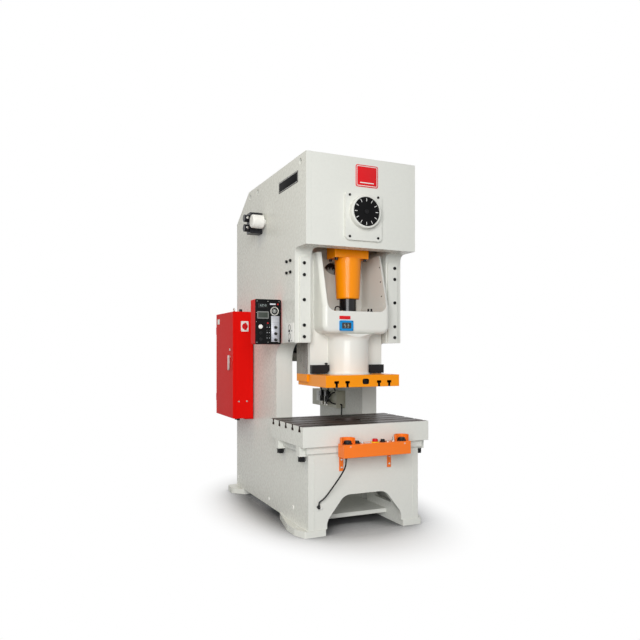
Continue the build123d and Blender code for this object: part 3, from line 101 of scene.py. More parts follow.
def new_group(name, inputs, outputs):
    """A shader group with named sockets: inputs are (name, default), outputs are (name, kind)."""
    group = bpy.data.node_groups.new(name, "ShaderNodeTree")
    for socket, default in inputs:
        kind = "NodeSocketColor" if isinstance(default, tuple) else "NodeSocketFloat"
        made = group.interface.new_socket(socket, in_out="INPUT", socket_type=kind)
        made.default_value = default
    for socket, kind in outputs:
        group.interface.new_socket(socket, in_out="OUTPUT", socket_type="NodeSocket" + kind)
    return group, group.nodes.new("NodeGroupInput"), group.nodes.new("NodeGroupOutput")


def place_group(tree, group, inputs):
    """The group in a material, with this material's own values."""
    return add(tree, "Group", inputs, node_tree=group)


def srgb(red, green, blue):
    """A colour as a painter names it, 0 to 255, in the linear values that shaders use."""
    return tuple((c / 255) ** 2.2 for c in (red, green, blue)) + (1.0,)


def blend(tree, factor, first, second, mode="MIX"):
    """One colour mixed into another."""
    pairs = ((0, factor), (6, first), (7, second))
    return add(tree, "Mix", pairs, data_type="RGBA", blend_type=mode).outputs[2]


def object_noise(tree, scale, detail=2.0, stretch=None):
    """Noise that sticks to the object, at a scale in repeats per metre."""
    vector = add(tree, "TexCoord").outputs["Object"]
    if stretch:
        vector = add(tree, "Mapping", (("Vector", vector), ("Scale", stretch))).outputs[0]
    pairs = (("Vector", vector), ("Scale", scale), ("Detail", detail))
    return add(tree, "TexNoise", pairs).outputs[0]


def calculate(tree, operation, first, second):
    """One step of arithmetic with two values."""
    return add(tree, "Math", ((0, first), (1, second)), operation=operation).outputs[0]


def ranged(tree, value, low, high, new_low, new_high, shape="LINEAR"):
    """A value carried from one range to another; SMOOTHSTEP leaves no visible border at its ends."""
    pairs = ((0, value), (1, low), (2, high), (3, new_low), (4, new_high))
    return add(tree, "MapRange", pairs, interpolation_type=shape).outputs[0]


print("white enamel is", [round(c, 3) for c in srgb(227, 228, 221)])

# %% [markdown]
# ## Sprayed paint
# Machine enamel is sprayed over filler, so its colour drifts a little from place to place, it has
# a fine orange peel that breaks up reflections, and dust settles on what faces up.
# A picture of paint could be wrapped round the parts, but procedural noise in object space needs
# no unwrapping and has the same scale on a small box and on a side plate two metres tall.

# %% Group: sprayed paint
def build_sprayed_paint():
    group, given, result = new_group(
        "Sprayed paint",
        (("Colour", (0.8, 0.8, 0.8, 1.0)), ("Drift", 0.06), ("Dust", 0.1), ("Gloss", 0.3)),
        (("Colour", "Color"), ("Roughness", "Float"), ("Height", "Float")),
    )
    broad = object_noise(group, 1.6, 1.0)
    patches = ranged(group, broad, 0.15, 0.85, 0.0, 1.0, "SMOOTHSTEP")
    drift = calculate(group, "MULTIPLY", patches, given.outputs["Drift"])
    drifted = blend(group, drift, given.outputs["Colour"], srgb(150, 140, 120), "MULTIPLY")
    normal = add(group, "NewGeometry").outputs["Normal"]
    up = add(group, "SeparateXYZ", ((0, normal),)).outputs[2]
    facing_up = ranged(group, up, 0.6, 1.0, 0.0, 1.0)
    fine = object_noise(group, 45.0, 4.0)
    specks = ranged(group, fine, 0.45, 0.7, 0.2, 1.0)
    dusty = calculate(group, "MULTIPLY", facing_up, specks)
    dust = calculate(group, "MULTIPLY", dusty, given.outputs["Dust"])
    coloured = blend(group, dust, drifted, srgb(150, 142, 128))
    peel = object_noise(group, 260.0, 1.0)
    rough = calculate(group, "ADD", dust, given.outputs["Gloss"])
    smear = ranged(group, fine, 0.3, 0.7, -0.02, 0.03)
    rougher = calculate(group, "ADD", rough, smear)
    group.links.new(coloured, result.inputs["Colour"])
    group.links.new(rougher, result.inputs["Roughness"])
    group.links.new(peel, result.inputs["Height"])
    return group


sprayed_paint = build_sprayed_paint()
print("group", sprayed_paint.name, [s.name for s in sprayed_paint.interface.items_tree])

# %% [markdown]
# ## Rubbed edges
# Where hands, slings and sheet metal touch a machine, the paint wears through at the edges.
# A bevel shader compares each point's own normal with one that is rounded over the edge: where
# they differ there is an edge. Noise breaks the line up, so that it wears in patches.

# %% Group: rubbed edges
WEAR_REACH = 0.003


def build_rubbed_edges():
    group, given, result = new_group(
        "Rubbed edges", (("Radius", WEAR_REACH), ("Amount", 0.5)), (("Mask", "Float"),)
    )
    rounded = add(group, "Bevel", (("Radius", given.outputs["Radius"]),), samples=4).outputs[0]
    own = add(group, "NewGeometry").outputs["True Normal"]
    compared = add(group, "VectorMath", ((0, rounded), (1, own)), operation="DOT_PRODUCT")
    edge = ranged(group, compared.outputs["Value"], 0.97, 0.80, 0.0, 1.0)
    patches = ranged(group, object_noise(group, 35.0, 5.0), 0.45, 0.6, 0.0, 1.0)
    worn = calculate(group, "MULTIPLY", edge, patches)
    mask = add(group, "Math", ((0, worn), (1, given.outputs["Amount"])), operation="MULTIPLY")
    mask.use_clamp = True
    group.links.new(mask.outputs[0], result.inputs["Mask"])
    return group


rubbed_edges = build_rubbed_edges()
print("group", rubbed_edges.name)

# %% [markdown]
# ## Ground and oiled steel
# A surface grinder leaves fine parallel lines, and oil on them darkens the metal in slow, soft
# patches. The lines are noise that is stretched a hundred times along one direction.

# %% Group: ground steel
def build_ground_lines():
    group, given, result = new_group(
        "Ground lines",
        (("Light", (0.3, 0.3, 0.3, 1.0)), ("Dark", (0.1, 0.1, 0.1, 1.0)), ("Roughness", 0.3)),
        (("Colour", "Color"), ("Roughness", "Float"), ("Height", "Float")),
    )
    lines = object_noise(group, 1.0, 2.0, (5.0, 900.0, 400.0))
    patches = ranged(group, object_noise(group, 4.0, 5.0), 0.35, 0.65, 0.0, 1.0)
    oiled = blend(group, patches, given.outputs["Light"], given.outputs["Dark"])
    streak = ranged(group, lines, 0.3, 0.7, 0.75, 1.1)
    grey = add(group, "CombineXYZ", ((0, streak), (1, streak), (2, streak))).outputs[0]
    colour = blend(group, 1.0, oiled, grey, "MULTIPLY")
    smear = ranged(group, patches, 0.0, 1.0, 0.06, -0.06)
    rough = calculate(group, "ADD", given.outputs["Roughness"], smear)
    group.links.new(colour, result.inputs["Colour"])
    group.links.new(rough, result.inputs["Roughness"])
    group.links.new(lines, result.inputs["Height"])
    return group


ground_lines = build_ground_lines()
print("group", ground_lines.name)

# %% [markdown]
# ## Finishes
# Every finish below is one Principled shader. Its plain numbers, such as coat or metal, are set on
# the shader itself. What changes over the surface comes from the groups: colour, roughness, and a
# height that a bump node turns into a normal. The bump starts from a bevel shader's normal, which
# rounds each hard edge of the solids by a millimetre or two, as a grinder would. How far each kind
# of finish rounds an edge, and how deep its relief is, stands in two lines of millimetres.

# %% Finish helpers
PAINT_ROUNDS, STEEL_ROUNDS, MOULDED_ROUNDS, LIT_ROUNDS, FLOOR_ROUNDS = 2.0, 1.0, 0.8, 0.5, 1.5
PEEL_DEPTH, GRINDING_DEPTH, GRAIN_DEPTH = 0.4, 0.2, 0.3
finishes = {}


def new_finish(name, rounding, **plain):
    """A material with one Principled shader; plain values go on the shader's own sockets."""
    material = bpy.data.materials.new(name)
    material.use_nodes = True
    tree = material.node_tree
    shader = tree.nodes["Principled BSDF"]
    for socket, value in plain.items():
        shader.inputs[socket.replace("_", " ")].default_value = value
    bevel = add(tree, "Bevel", (("Radius", rounding * MM),), samples=4)
    finishes[name] = material
    return tree, shader, bevel.outputs[0]


def set_height(tree, shader, rounded, height, strength, depth):
    """Turns a height into the shader's normal; depth is the relief in millimetres."""
    pairs = (("Strength", strength), ("Distance", depth * MM), ("Height", height), ("Normal", rounded))
    tree.links.new(add(tree, "Bump", pairs).outputs[0], shader.inputs["Normal"])


def paint(
    name, colour, gloss=0.3, drift=0.03, dust=0.1, wear=0.0, under=(120, 115, 110), peel=0.12,
    coat=0.1, shine=0.3,
):
    """Sprayed enamel, worn through at the edges where wear is above 0."""
    plain = {"Coat_Weight": coat, "Coat_Roughness": 0.08, "Specular_IOR_Level": shine}
    tree, shader, rounded = new_finish(name, PAINT_ROUNDS, **plain)
    given = (("Colour", srgb(*colour)), ("Drift", drift), ("Dust", dust), ("Gloss", gloss))
    spray = place_group(tree, sprayed_paint, given)
    final = spray.outputs["Colour"]
    if wear:
        edges = place_group(tree, rubbed_edges, (("Radius", WEAR_REACH), ("Amount", wear)))
        final = blend(tree, edges.outputs["Mask"], final, srgb(*under))
    tree.links.new(final, shader.inputs["Base Color"])
    tree.links.new(spray.outputs["Roughness"], shader.inputs["Roughness"])
    set_height(tree, shader, rounded, spray.outputs["Height"], peel, PEEL_DEPTH)


def steel(name, light, dark, roughness=0.3, metallic=1.0, bump=0.15):
    """Ground, machined or oiled metal, between a light and a dark tone."""
    tree, shader, rounded = new_finish(name, STEEL_ROUNDS, Metallic=metallic)
    given = (("Light", srgb(*light)), ("Dark", srgb(*dark)), ("Roughness", roughness))
    lines = place_group(tree, ground_lines, given)
    tree.links.new(lines.outputs["Colour"], shader.inputs["Base Color"])
    tree.links.new(lines.outputs["Roughness"], shader.inputs["Roughness"])
    set_height(tree, shader, rounded, lines.outputs["Height"], bump, GRINDING_DEPTH)


def moulded(name, colour, roughness=0.4, grain=600.0, bump=0.1, vary=0.12, shine=0.3, **plain):
    """Plastic, rubber or cast metal: an even colour with a fine grain."""
    tree, shader, rounded = new_finish(name, MOULDED_ROUNDS, Specular_IOR_Level=shine, **plain)
    broad = ranged(tree, object_noise(tree, 14.0, 4.0), 0.3, 0.7, 0.0, vary)
    tint = blend(tree, broad, srgb(*colour), srgb(*(min(255, c + 60) for c in colour)))
    tree.links.new(tint, shader.inputs["Base Color"])
    rough = ranged(tree, broad, 0.0, vary, roughness - 0.06, roughness + 0.06)
    tree.links.new(rough, shader.inputs["Roughness"])
    set_height(tree, shader, rounded, object_noise(tree, grain, 2.0), bump, GRAIN_DEPTH)


print("helpers for painted, ground and moulded finishes")

# %% [markdown]
# ## The press's own finishes
# The frame is white enamel with a trace of yellow, and the slide is the same paint, glossier. Orange
# marks what moves or is gripped, red the electrics, and blue one display. A saturated paint shows
# its colour only where it reflects little white, so the coloured paints get a low specular level.
# The table's top is steel under a film of old oil. The oil hides the metal and reflects softly, so
# this steel is not metallic to the shader. Black parts are never quite black, and tell themselves
# apart by their gloss.

# %% Finishes of this press
paint("white enamel", (227, 228, 221), gloss=0.27, drift=0.015, dust=0.12, peel=0.015, coat=0.0, shine=0.1)
paint("casting enamel", (230, 230, 223), gloss=0.3, drift=0.015, dust=0.15, peel=0.03, coat=0.4, shine=0.25)
# Lighter copy of the white enamel for the walls inside the head: painted light in their shade.
paint("lightened inner enamel", (236, 232, 222), gloss=0.4, drift=0.04, dust=0.1)
paint("orange enamel", (255, 152, 0), gloss=0.3, dust=0.05, wear=0.25, under=(120, 70, 20), shine=0.2)
paint("rod enamel", (255, 148, 0), gloss=0.3, dust=0.05, peel=0.15, coat=0.2, shine=0.15)
paint("console enamel", (255, 126, 42), gloss=0.32, dust=0.08, wear=0.2, under=(150, 90, 60), shine=0.2)
paint(
    "cabinet red", (226, 26, 22), gloss=0.4, dust=0.06, wear=0.12, under=(90, 30, 28), coat=0.0,
    shine=0.03,
)
paint("display blue", (24, 142, 214), gloss=0.3, shine=0.2)
paint("plate red", (222, 28, 36), gloss=0.3, shine=0.2)
paint("plate white", (240, 240, 236), gloss=0.35)
paint("plate dark", (18, 18, 20), gloss=0.5, coat=0.0, shine=0.04)
paint("junction enamel", (200, 198, 180), gloss=0.35, drift=0.08, dust=0.25)
paint("motor enamel", (70, 84, 94), gloss=0.4, drift=0.1, dust=0.3)
steel("table steel", (66, 52, 46), (38, 30, 26), roughness=0.42, metallic=0.0)
steel("way steel", (156, 152, 148), (104, 100, 96), roughness=0.26)
steel("machined steel", (176, 174, 170), (120, 118, 114), roughness=0.3)
steel("zinc plate", (214, 212, 206), (180, 178, 172), roughness=0.32)
steel("bronze", (176, 132, 70), (128, 92, 44), roughness=0.32)
steel("silver panel", (232, 234, 242), (210, 212, 224), roughness=0.45, metallic=0.1)
moulded("gear iron", (44, 26, 20), roughness=0.5, grain=120.0, bump=0.5, vary=0.2, Metallic=0.3)
moulded("black oxide", (16, 16, 18), roughness=0.33, Metallic=0.4)
moulded("black plastic", (14, 14, 16), roughness=0.42, shine=0.25)
moulded("gloss black", (10, 10, 12), roughness=0.18, vary=0.04, bump=0.02, shine=0.4)
moulded("panel black", (10, 10, 12), roughness=0.4, vary=0.04, shine=0.15)
moulded("dial black", (6, 6, 8), roughness=0.4, vary=0.03, shine=0.12)
moulded("valve black", (34, 34, 38), roughness=0.38, Metallic=0.4)
moulded("red plastic", (206, 14, 22), roughness=0.3)
moulded("yellow plastic", (240, 192, 16), roughness=0.4)
moulded("white plastic", (240, 239, 234), roughness=0.5, bump=0.3)
moulded("key grey", (196, 198, 202), roughness=0.4)
moulded("bezel grey", (128, 130, 128), roughness=0.4)
moulded("belt rubber", (20, 20, 21), roughness=0.75, bump=0.4)
moulded("cable sheath", (16, 16, 17), roughness=0.55, bump=0.2)
moulded("screen glass", (64, 60, 58), roughness=0.15, vary=0.05, bump=0.02)
print("finishes", len(finishes))

# %% [markdown]
# ## Lit marks
# Digits on a display and a lamp give off light of their own. Emission is kept low, so that they
# read as lit and still keep their colour.

# %% Lit finishes
def lit(name, colour, strength):
    """A surface that glows a little, with a faint cloudiness."""
    tree, shader, rounded = new_finish(name, LIT_ROUNDS, Emission_Strength=strength, Roughness=0.3)
    cloud = ranged(tree, object_noise(tree, 300.0, 2.0), 0.3, 0.7, 0.85, 1.0)
    glow = blend(tree, cloud, srgb(*(0.6 * c for c in colour)), srgb(*colour))
    tree.links.new(glow, shader.inputs["Base Color"])
    tree.links.new(glow, shader.inputs["Emission Color"])
    tree.links.new(rounded, shader.inputs["Normal"])


lit("lit digit", (176, 190, 188), 0.25)
lit("lit grey", (58, 64, 58), 0.05)
lit("lamp red", (190, 20, 22), 0.1)
print("lit finishes", [n for n in finishes if n.startswith(("lit", "lamp"))])

# %% [markdown]
# ## Shapes in mesh code
# A machine is made of a few kinds of form: plates with rounded corners, turned pieces, and bent
# rods or hoses. Each function below gives a list of points and faces in millimetres, flat on its
# seat with its outside along +Z. `seated` then turns it to face out of a side of the machine.

# %% Plates and turned pieces
def rounded_outline(width, height, radius, steps=5):
    """Corner points of a rectangle with round corners, counter-clockwise about its middle."""
    radius = max(0.01, min(radius, width / 2 - 0.01, height / 2 - 0.01))
    points = []
    for quarter, (side_x, side_y) in enumerate(((1, 1), (-1, 1), (-1, -1), (1, -1))):
        for step in range(steps + 1):
            angle = pi / 2 * (quarter + step / steps)
            x = side_x * (width / 2 - radius) + radius * cos(angle)
            y = side_y * (height / 2 - radius) + radius * sin(angle)
            points.append((x, y))
    return points


def stack(rings, capped=True):
    """Faces between rings of equal length, with a cap at each end unless the form closes on itself."""
    count = len(rings[0])
    points = [p for ring in rings for p in ring]
    faces = []
    for level in range(len(rings) - 1):
        for i in range(count):
            j = (i + 1) % count
            a, b = level * count, (level + 1) * count
            faces.append((a + i, a + j, b + j, b + i))
    if capped:
        faces.append(tuple(reversed(range(count))))
        faces.append(tuple(range(len(points) - count, len(points))))
    return points, faces


def plate(width, height, thickness, corner=3, edge=0.8):
    """A plate with round corners and a rounded rim."""
    rings = []
    rounding = ((0, 0), (thickness - edge, 0), (thickness - edge * 0.3, edge * 0.3), (thickness, edge))
    for z, inset in rounding:
        outline = rounded_outline(width - 2 * inset, height - 2 * inset, corner - inset)
        rings.append([(x, y, z) for x, y in outline])
    return stack(rings)


def opened(outer, inner, thickness):
    """A flat plate between an outer outline and an opening with as many points."""
    levels = ((outer, 0), (outer, thickness), (inner, thickness), (inner, 0), (outer, 0))
    return stack([[(x, y, z) for x, y in outline] for outline, z in levels], capped=False)


def rim(width, height, band, thickness, corner):
    """A flat frame: the border of a plate, open in the middle."""
    inner_corner = max(0.5, corner - band)
    inner = rounded_outline(width - 2 * band, height - 2 * band, inner_corner)
    return opened(rounded_outline(width, height, corner), inner, thickness)


def faceplate(width, height, corner, hole, thickness):
    """A plate with round corners and a round hole in its middle."""
    outer = rounded_outline(width, height, corner, 8)
    angles = [atan2(y, x) for x, y in outer]
    return opened(outer, [(hole * cos(angle), hole * sin(angle)) for angle in angles], thickness)


def turned(profile, segments=40):
    """A piece from the lathe: the profile is (radius, height) pairs, from the seat outward."""
    angles = [2 * pi * i / segments for i in range(segments)]
    rings = []
    for radius, height in profile:
        radius = max(radius, 0.001)
        rings.append([(radius * cos(angle), radius * sin(angle), height) for angle in angles])
    return stack(rings, capped=profile[0] != profile[-1])


def socket_screw(radius, height):
    """Head of a socket screw: a chamfered cylinder with a hexagonal hole."""
    segments = 24
    hole = radius * 0.52

    def ring(size, z, sides=0):
        made = []
        for i in range(segments):
            angle = 2 * pi * i / segments
            reach = size
            if sides:
                reach = size * cos(pi / sides) / cos((angle % (2 * pi / sides)) - pi / sides)
            made.append((reach * cos(angle), reach * sin(angle), z))
        return made

    chamfer = radius * 0.12
    rings = [
        ring(radius, 0),
        ring(radius, height - chamfer),
        ring(radius - chamfer, height),
        ring(hole * 1.12, height),
        ring(hole, height - chamfer, 6),
        ring(hole, height * 0.35, 6),
    ]
    return stack(rings)


def hexagon_head(flats, height):
    """Head of a hexagon bolt, chamfered on its outer face, on a washer."""
    reach = flats / 2 / cos(pi / 6)
    corners = [(reach * cos(pi / 3 * i), reach * sin(pi / 3 * i)) for i in range(6)]
    rings = [[(x, y, z) for x, y in corners] for z in (2.5, height - 1.5)]
    rings.append([(0.88 * x, 0.88 * y, height) for x, y in corners])
    washer = turned(((reach * 1.15, 0), (reach * 1.15, 2), (reach * 1.1, 2.5)), 28)
    return merged(stack(rings), washer)


def merged(*shapes):
    """Several shapes as one."""
    points, faces = [], []
    for more, new_faces in shapes:
        base = len(points)
        points += list(more)
        faces += [tuple(base + i for i in face) for face in new_faces]
    return points, faces


print("points in a socket screw", len(socket_screw(10, 8)[0]))

# %% [markdown]
# Hoses, pipes and weld beads follow a line. The line is a smooth curve through a few chosen
# points, and a ring of points is carried along it without twisting, as a hose would lie.

# %% Rods, hoses and beads
def smooth_line(points, per_run=8):
    """A Catmull-Rom line through the points."""
    route = [Vector(p) for p in points]
    route = [route[0] * 2 - route[1]] + route + [route[-1] * 2 - route[-2]]
    line = []
    for a, b, c, d in zip(route, route[1:], route[2:], route[3:]):
        for step in range(per_run):
            t = step / per_run
            bent = (2 * a - 5 * b + 4 * c - d) * t**2
            twice_bent = (3 * b - a - 3 * c + d) * t**3
            line.append(0.5 * (2 * b + (c - a) * t + bent + twice_bent))
    return line + [route[-2]]


def rod_along(points, radius, sides=12, per_run=8, lumps=0.0):
    """A round rod along a line; lumps makes its thickness uneven, like a weld bead."""
    line = smooth_line(points, per_run)
    angles = [2 * pi * k / sides for k in range(sides)]
    up = Vector((0.3, 0.5, 0.8))
    rings = []
    for i, here in enumerate(line):
        along = (line[min(i + 1, len(line) - 1)] - line[max(i - 1, 0)]).normalized()
        up = (up - along * along.dot(up)).normalized()
        across = along.cross(up)
        size = radius * (1 + lumps * sin(2.3 * i) * cos(0.7 * i))
        rings.append([tuple(here + (across * cos(a) + up * sin(a)) * size) for a in angles])
    return stack(rings)


def straight(start, end, count):
    """Evenly spaced points from start to end."""
    a, b = Vector(start), Vector(end)
    return [a.lerp(b, i / (count - 1)) for i in range(count)]


print("points in a bend", len(smooth_line(((0, 0, 0), (1, 0, 0), (1, 1, 0)))))

# %% [markdown]
# ## Seating and grouping
# A viewer who stands in front of a side sees its +X to the right and its +Y up. `seated` turns a
# flat shape so that it faces out of the named side, and moves it to its place on the machine.
# `put` does that for one shape of a piece and notes its finish. `piece` makes one object of all of
# them, smooths its round faces, and says which body it moves with.

# %% Seating helpers
FACINGS = {
    "front": ((1, 0, 0), (0, 0, 1), (0, -1, 0)),
    "back": ((-1, 0, 0), (0, 0, 1), (0, 1, 0)),
    "left": ((0, -1, 0), (0, 0, 1), (-1, 0, 0)),
    "right": ((0, 1, 0), (0, 0, 1), (1, 0, 0)),
    "top": ((1, 0, 0), (0, 1, 0), (0, 0, 1)),
    "bottom": ((1, 0, 0), (0, -1, 0), (0, 0, -1)),
}
SHARP_ON_PIECES, SHARP_ON_SOLIDS = 38, 32


def seated(shape, facing, place, turn=0):
    """The shape facing out of a side of the machine, at a place in millimetres."""
    right, up, out = FACINGS[facing]
    basis = Matrix((right, up, out)).transposed().to_4x4()
    matrix = Matrix.Translation(place) @ basis @ Matrix.Rotation(radians(turn), 4, "Z")
    return [matrix @ Vector(p) for p in shape[0]], shape[1]


def put(parts, shape, facing, place, finish, turn=0):
    """Adds a shape, seated on a side of the machine, to the parts of a piece."""
    parts.append((seated(shape, facing, place, turn), finish))


def piece(name, body, parts):
    """One object of (shape, finish) pairs, riding on a body."""
    mesh = bpy.data.meshes.new(name)
    points, faces = merged(*(shape for shape, finish in parts))
    mesh.from_pydata([Vector(p) * MM for p in points], [], faces)
    used, owners = [], []
    for shape, finish in parts:
        if finish not in used:
            used.append(finish)
        owners += [used.index(finish)] * len(shape[1])
    for finish in used:
        mesh.materials.append(finishes[finish])
    mesh.polygons.foreach_set("material_index", owners)
    tidy = bmesh.new()
    tidy.from_mesh(mesh)
    bmesh.ops.recalc_face_normals(tidy, faces=tidy.faces)
    tidy.to_mesh(mesh)
    tidy.free()
    mesh.shade_smooth()
    mesh.set_sharp_from_angle(angle=radians(SHARP_ON_PIECES))
    made = bpy.data.objects.new(name, mesh)
    bpy.context.scene.collection.objects.link(made)
    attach(made, body)
    return made


print("facings", list(FACINGS))

# %% [markdown]
# ## Finishes on the solids
# The solids are true to size, so they stay, and only their finish changes. Each gets smooth shading
# that breaks at sharp edges, and the bevel node in its finish rounds those edges in the light.
# A bevel modifier would round them too, but it would add thousands of faces that nobody sees.

# %% Finish of each solid
NODE_FINISH = {
    "white enamel": (
        "side_plate_left side_plate_right columns front_legs foot_plates bed_front_plate bed_plate "
        "base_tie_plate head_front_plate head_cover guide_strips dial_housing motor_mount rear_guard"
    ),
    # These walls wear the lighter copy of the white, painted light in the shade inside the head.
    "lightened inner enamel": "bearing_walls",
    "casting enamel": "slide_body",
    "orange enamel": "slide_plate",
    "rod enamel": "connecting_rod rod_strap",
    "console enamel": "console_box",
    "cabinet red": "cabinet_shell cabinet_door panel_box",
    "red plastic": "stop_button isolator_handle",
    "way steel": "slide_ways",
    "table steel": "bolster",
    "machined steel": "crankshaft crank_pin pinion_shaft",
    "zinc plate": "door_handle toggle_switch",
    "bronze": "shaft_bearings",
    "gear iron": "main_gear clutch_drum flywheel motor_pulley ball_retainer",
    "black oxide": "rod_screws frame_screws",
    "gloss black": "ball_screw",
    "black plastic": (
        "slide_boxes cable_glands palm_button_left palm_button_right run_button inch_button "
        "panel_knob_upper panel_knob_middle panel_knob_lower panel_key_upper panel_key_lower"
    ),
    "white plastic": "mode_selector valve_silencer",
    "dial black": "dial_disc",
    "valve black": "valve_block",
    "junction enamel": "junction_box",
    "motor enamel": "motor",
    "belt rubber": "v_belts",
    "cable sheath": "control_cable",
}

for finish, names in NODE_FINISH.items():
    for name in names.split():
        solid = nodes[name]
        solid.data.materials.clear()
        solid.data.materials.append(finishes[finish])
        solid.data.shade_smooth()
        solid.data.set_sharp_from_angle(angle=radians(SHARP_ON_SOLIDS))
covered = {n for names in NODE_FINISH.values() for n in names.split()}
print("solids without a finish", sorted(set(nodes) - covered))

# %% [markdown]
# ## Two finishes on one solid
# The table is painted on its outside and ground on top and in its slots. The faces inside the orange
# die plate's slots and clamp recess are painted black, a painted shade in those recesses, and the air
# filter's bowls are dark smoked plastic. A second finish goes on the same mesh, and a rule on each
# face's place says which of the two it wears, so that no face has to be picked by hand.

# %% Second finishes
def paint_chosen(name, finish, chosen):
    """Gives a second finish to the faces that chosen(face) picks."""
    mesh = nodes[name].data
    mesh.materials.append(finishes[finish])
    count = 0
    for face in mesh.polygons:
        if chosen(face):
            face.material_index = len(mesh.materials) - 1
            count += 1
    return count


def near_outside(face, low, high, near, sides="xXyYzZ"):
    """Whether a face's middle lies near a named side of the box; a capital is the far side."""
    middle = face.center
    gaps = {}
    for axis in "xyz":
        gaps[axis] = getattr(middle, axis) - getattr(low, axis)
        gaps[axis.upper()] = getattr(high, axis) - getattr(middle, axis)
    return any(gaps[side] < near * MM for side in sides)


table_low, table_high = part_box("bolster")
die_low, die_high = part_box("slide_plate")
DIE_SLOTS, DIE_SLOT_HALF = (-212, -127, 127, 212), 18
CLAMP_MIDDLE, CLAMP_HALF, CLAMP_REAR = 19, 45, -700
BOWLS_X, BOWLS_Y, BOWL_REACH = 284, (430, 540), 25


def on_table_side(face):
    return near_outside(face, table_low, table_high, 1.5, "xXyYz")


# Painted shade: faces inside the slots and the clamp recess are painted black to darken them.
def painted_shade_in_die_slot(face):
    x, y = face.center.x / MM, face.center.y / MM
    beside_slot = any(abs(x - slot) < DIE_SLOT_HALF for slot in DIE_SLOTS)
    in_clamp = abs(x - CLAMP_MIDDLE) < CLAMP_HALF and y < CLAMP_REAR
    return (beside_slot or in_clamp) and not near_outside(face, die_low, die_high, 2)


def on_bowl(face):
    x, y = face.center.x / MM, face.center.y / MM
    return abs(x - BOWLS_X) < BOWL_REACH and any(abs(y - bowl) < BOWL_REACH for bowl in BOWLS_Y)


print("painted table faces", paint_chosen("bolster", "white enamel", on_table_side))
print("dark die plate faces", paint_chosen("slide_plate", "black oxide", painted_shade_in_die_slot))
print("dark filter bowl faces", paint_chosen("junction_box", "gloss black", on_bowl))

# %% [markdown]
# ## The control cable
# A rubber cable, about 10 mm thick, leaves a gland under the two-hand console, hangs down in front
# of the left leg in a lazy S and hooks into an elbow on the leg. It could be a mesh tube, but a
# curve with a round bevel keeps its line smooth from a few points. The points are the same ones
# that the solid cable follows.

# %% Control cable
CABLE_RADIUS = 5.3
CABLE_ROUTE = (
    (-222, -985, 545),
    (-222, -985, 516),
    (-225, -968, 478),
    (-237, -946, 438),
    (-257, -924, 394),
    (-283, -903, 346),
    (-310, -884, 299),
    (-334, -871, 266),
    (-354, -864, 250),
    (-369, -862, 240),
    (-369, -862, 221),
)
cable_curve = bpy.data.curves.new("control_cable_line", "CURVE")
cable_curve.dimensions = "3D"
cable_spline = cable_curve.splines.new("NURBS")
cable_spline.points.add(len(CABLE_ROUTE) - 1)
for point, place in zip(cable_spline.points, CABLE_ROUTE):
    point.co = (*(c * MM for c in place), 1)
cable_spline.order_u = 3
cable_spline.use_endpoint_u = True
cable_spline.resolution_u = 12
cable_curve.bevel_depth = CABLE_RADIUS * MM
cable_curve.bevel_resolution = 4
cable_curve.use_fill_caps = True
cable_curve.materials.append(finishes["cable sheath"])
cable = bpy.data.objects.new("control_cable_line", cable_curve)
bpy.context.scene.collection.objects.link(cable)
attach(cable, "frame")
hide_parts("control_cable")
print("cable points", len(CABLE_ROUTE))

# %% [markdown]
# ## Screws
# The solids hold each screw as a plain round head. Here the same screws get their hexagon sockets
# and chamfers in one mesh. Modelling the socket costs a few faces per screw, and it catches light
# the way a painted-on dark spot never does. The black screws keep their places from the drawing.
# No two sockets stop at the same angle under a key, so each screw's own height or depth is also the
# angle that it is turned by.

# %% Screws of the frame
STRIP_FACE, DIAL_FACE, SIDE_FACE = -616, -824, 440
LUGS_Y, PLUGS = (-799, -386), ((-562, 149), (-40, 100), (800, 126))
SIDES = (("left", -1), ("right", 1))

screws = []
for side, sign in SIDES:
    for z in (1381, 1464, 1647, 1827, 1912):
        put(screws, socket_screw(12, 8), "front", (sign * 376, STRIP_FACE, z), "black oxide", z)
    for y in (-520, -444):
        for z in (1854, 1937):
            put(screws, socket_screw(11, 14), side, (sign * SIDE_FACE, y, z), "black oxide", y)
    for z in (2090, 2383):
        put(screws, socket_screw(9, 6), "front", (sign * 114, DIAL_FACE, z), "black oxide", z)
    for y in LUGS_Y:
        put(screws, hexagon_head(46, 38), "bottom", (sign * 470, y, 556), "black oxide", 8)
frame_screws = piece("frame_screws_detailed", "frame", screws)
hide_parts("frame_screws")
print("screws", len(screws))

# %% [markdown]
# ## Head
# On the head's front sits a badge plate: a pressed sheet with a raised light border, left blank.
# A second, dark plate lies on the head's left side. An image on the paint would be flat and would
# need unwrapping. A thin plate with a rounded rim catches the light at its border instead.

# %% Badge plate and side plate
HEAD_FACE = -804
BADGE_X, BADGE_Z, BADGE_THICK = 33.5, 2532, 2.5
badge_front = HEAD_FACE - BADGE_THICK
badge = []
put(badge, plate(181, 158, BADGE_THICK, 14, 1), "front", (BADGE_X, HEAD_FACE, BADGE_Z), "plate red")
put(badge, rim(167, 144, 4.5, 0.6, 9), "front", (BADGE_X, badge_front, BADGE_Z), "plate white")
put(badge, plate(112, 7, 0.6, 3, 0.3), "front", (BADGE_X, badge_front, 2484), "plate white")
piece("head_badge", "frame", badge)

TYPE_PLATE_Y, TYPE_PLATE_Z = -462.5, 2518.5
type_plate = []
on_side, on_plate = (-SIDE_FACE, TYPE_PLATE_Y, TYPE_PLATE_Z), (-SIDE_FACE - 2, TYPE_PLATE_Y, TYPE_PLATE_Z)
put(type_plate, plate(387, 83, 2, 6, 0.8), "left", on_side, "plate dark")
put(type_plate, rim(377, 73, 2.5, 0.5, 4), "left", on_plate, "plate white")
piece("head_type_plate", "frame", type_plate)
print("shapes on the two plates", len(badge), len(type_plate))

# %% [markdown]
# The dial shows where the crank stands. Its disc turns once per stroke, so its twelve marks are
# thin raised bars that ride on the crank's body and not on the frame. The disc stays near black.

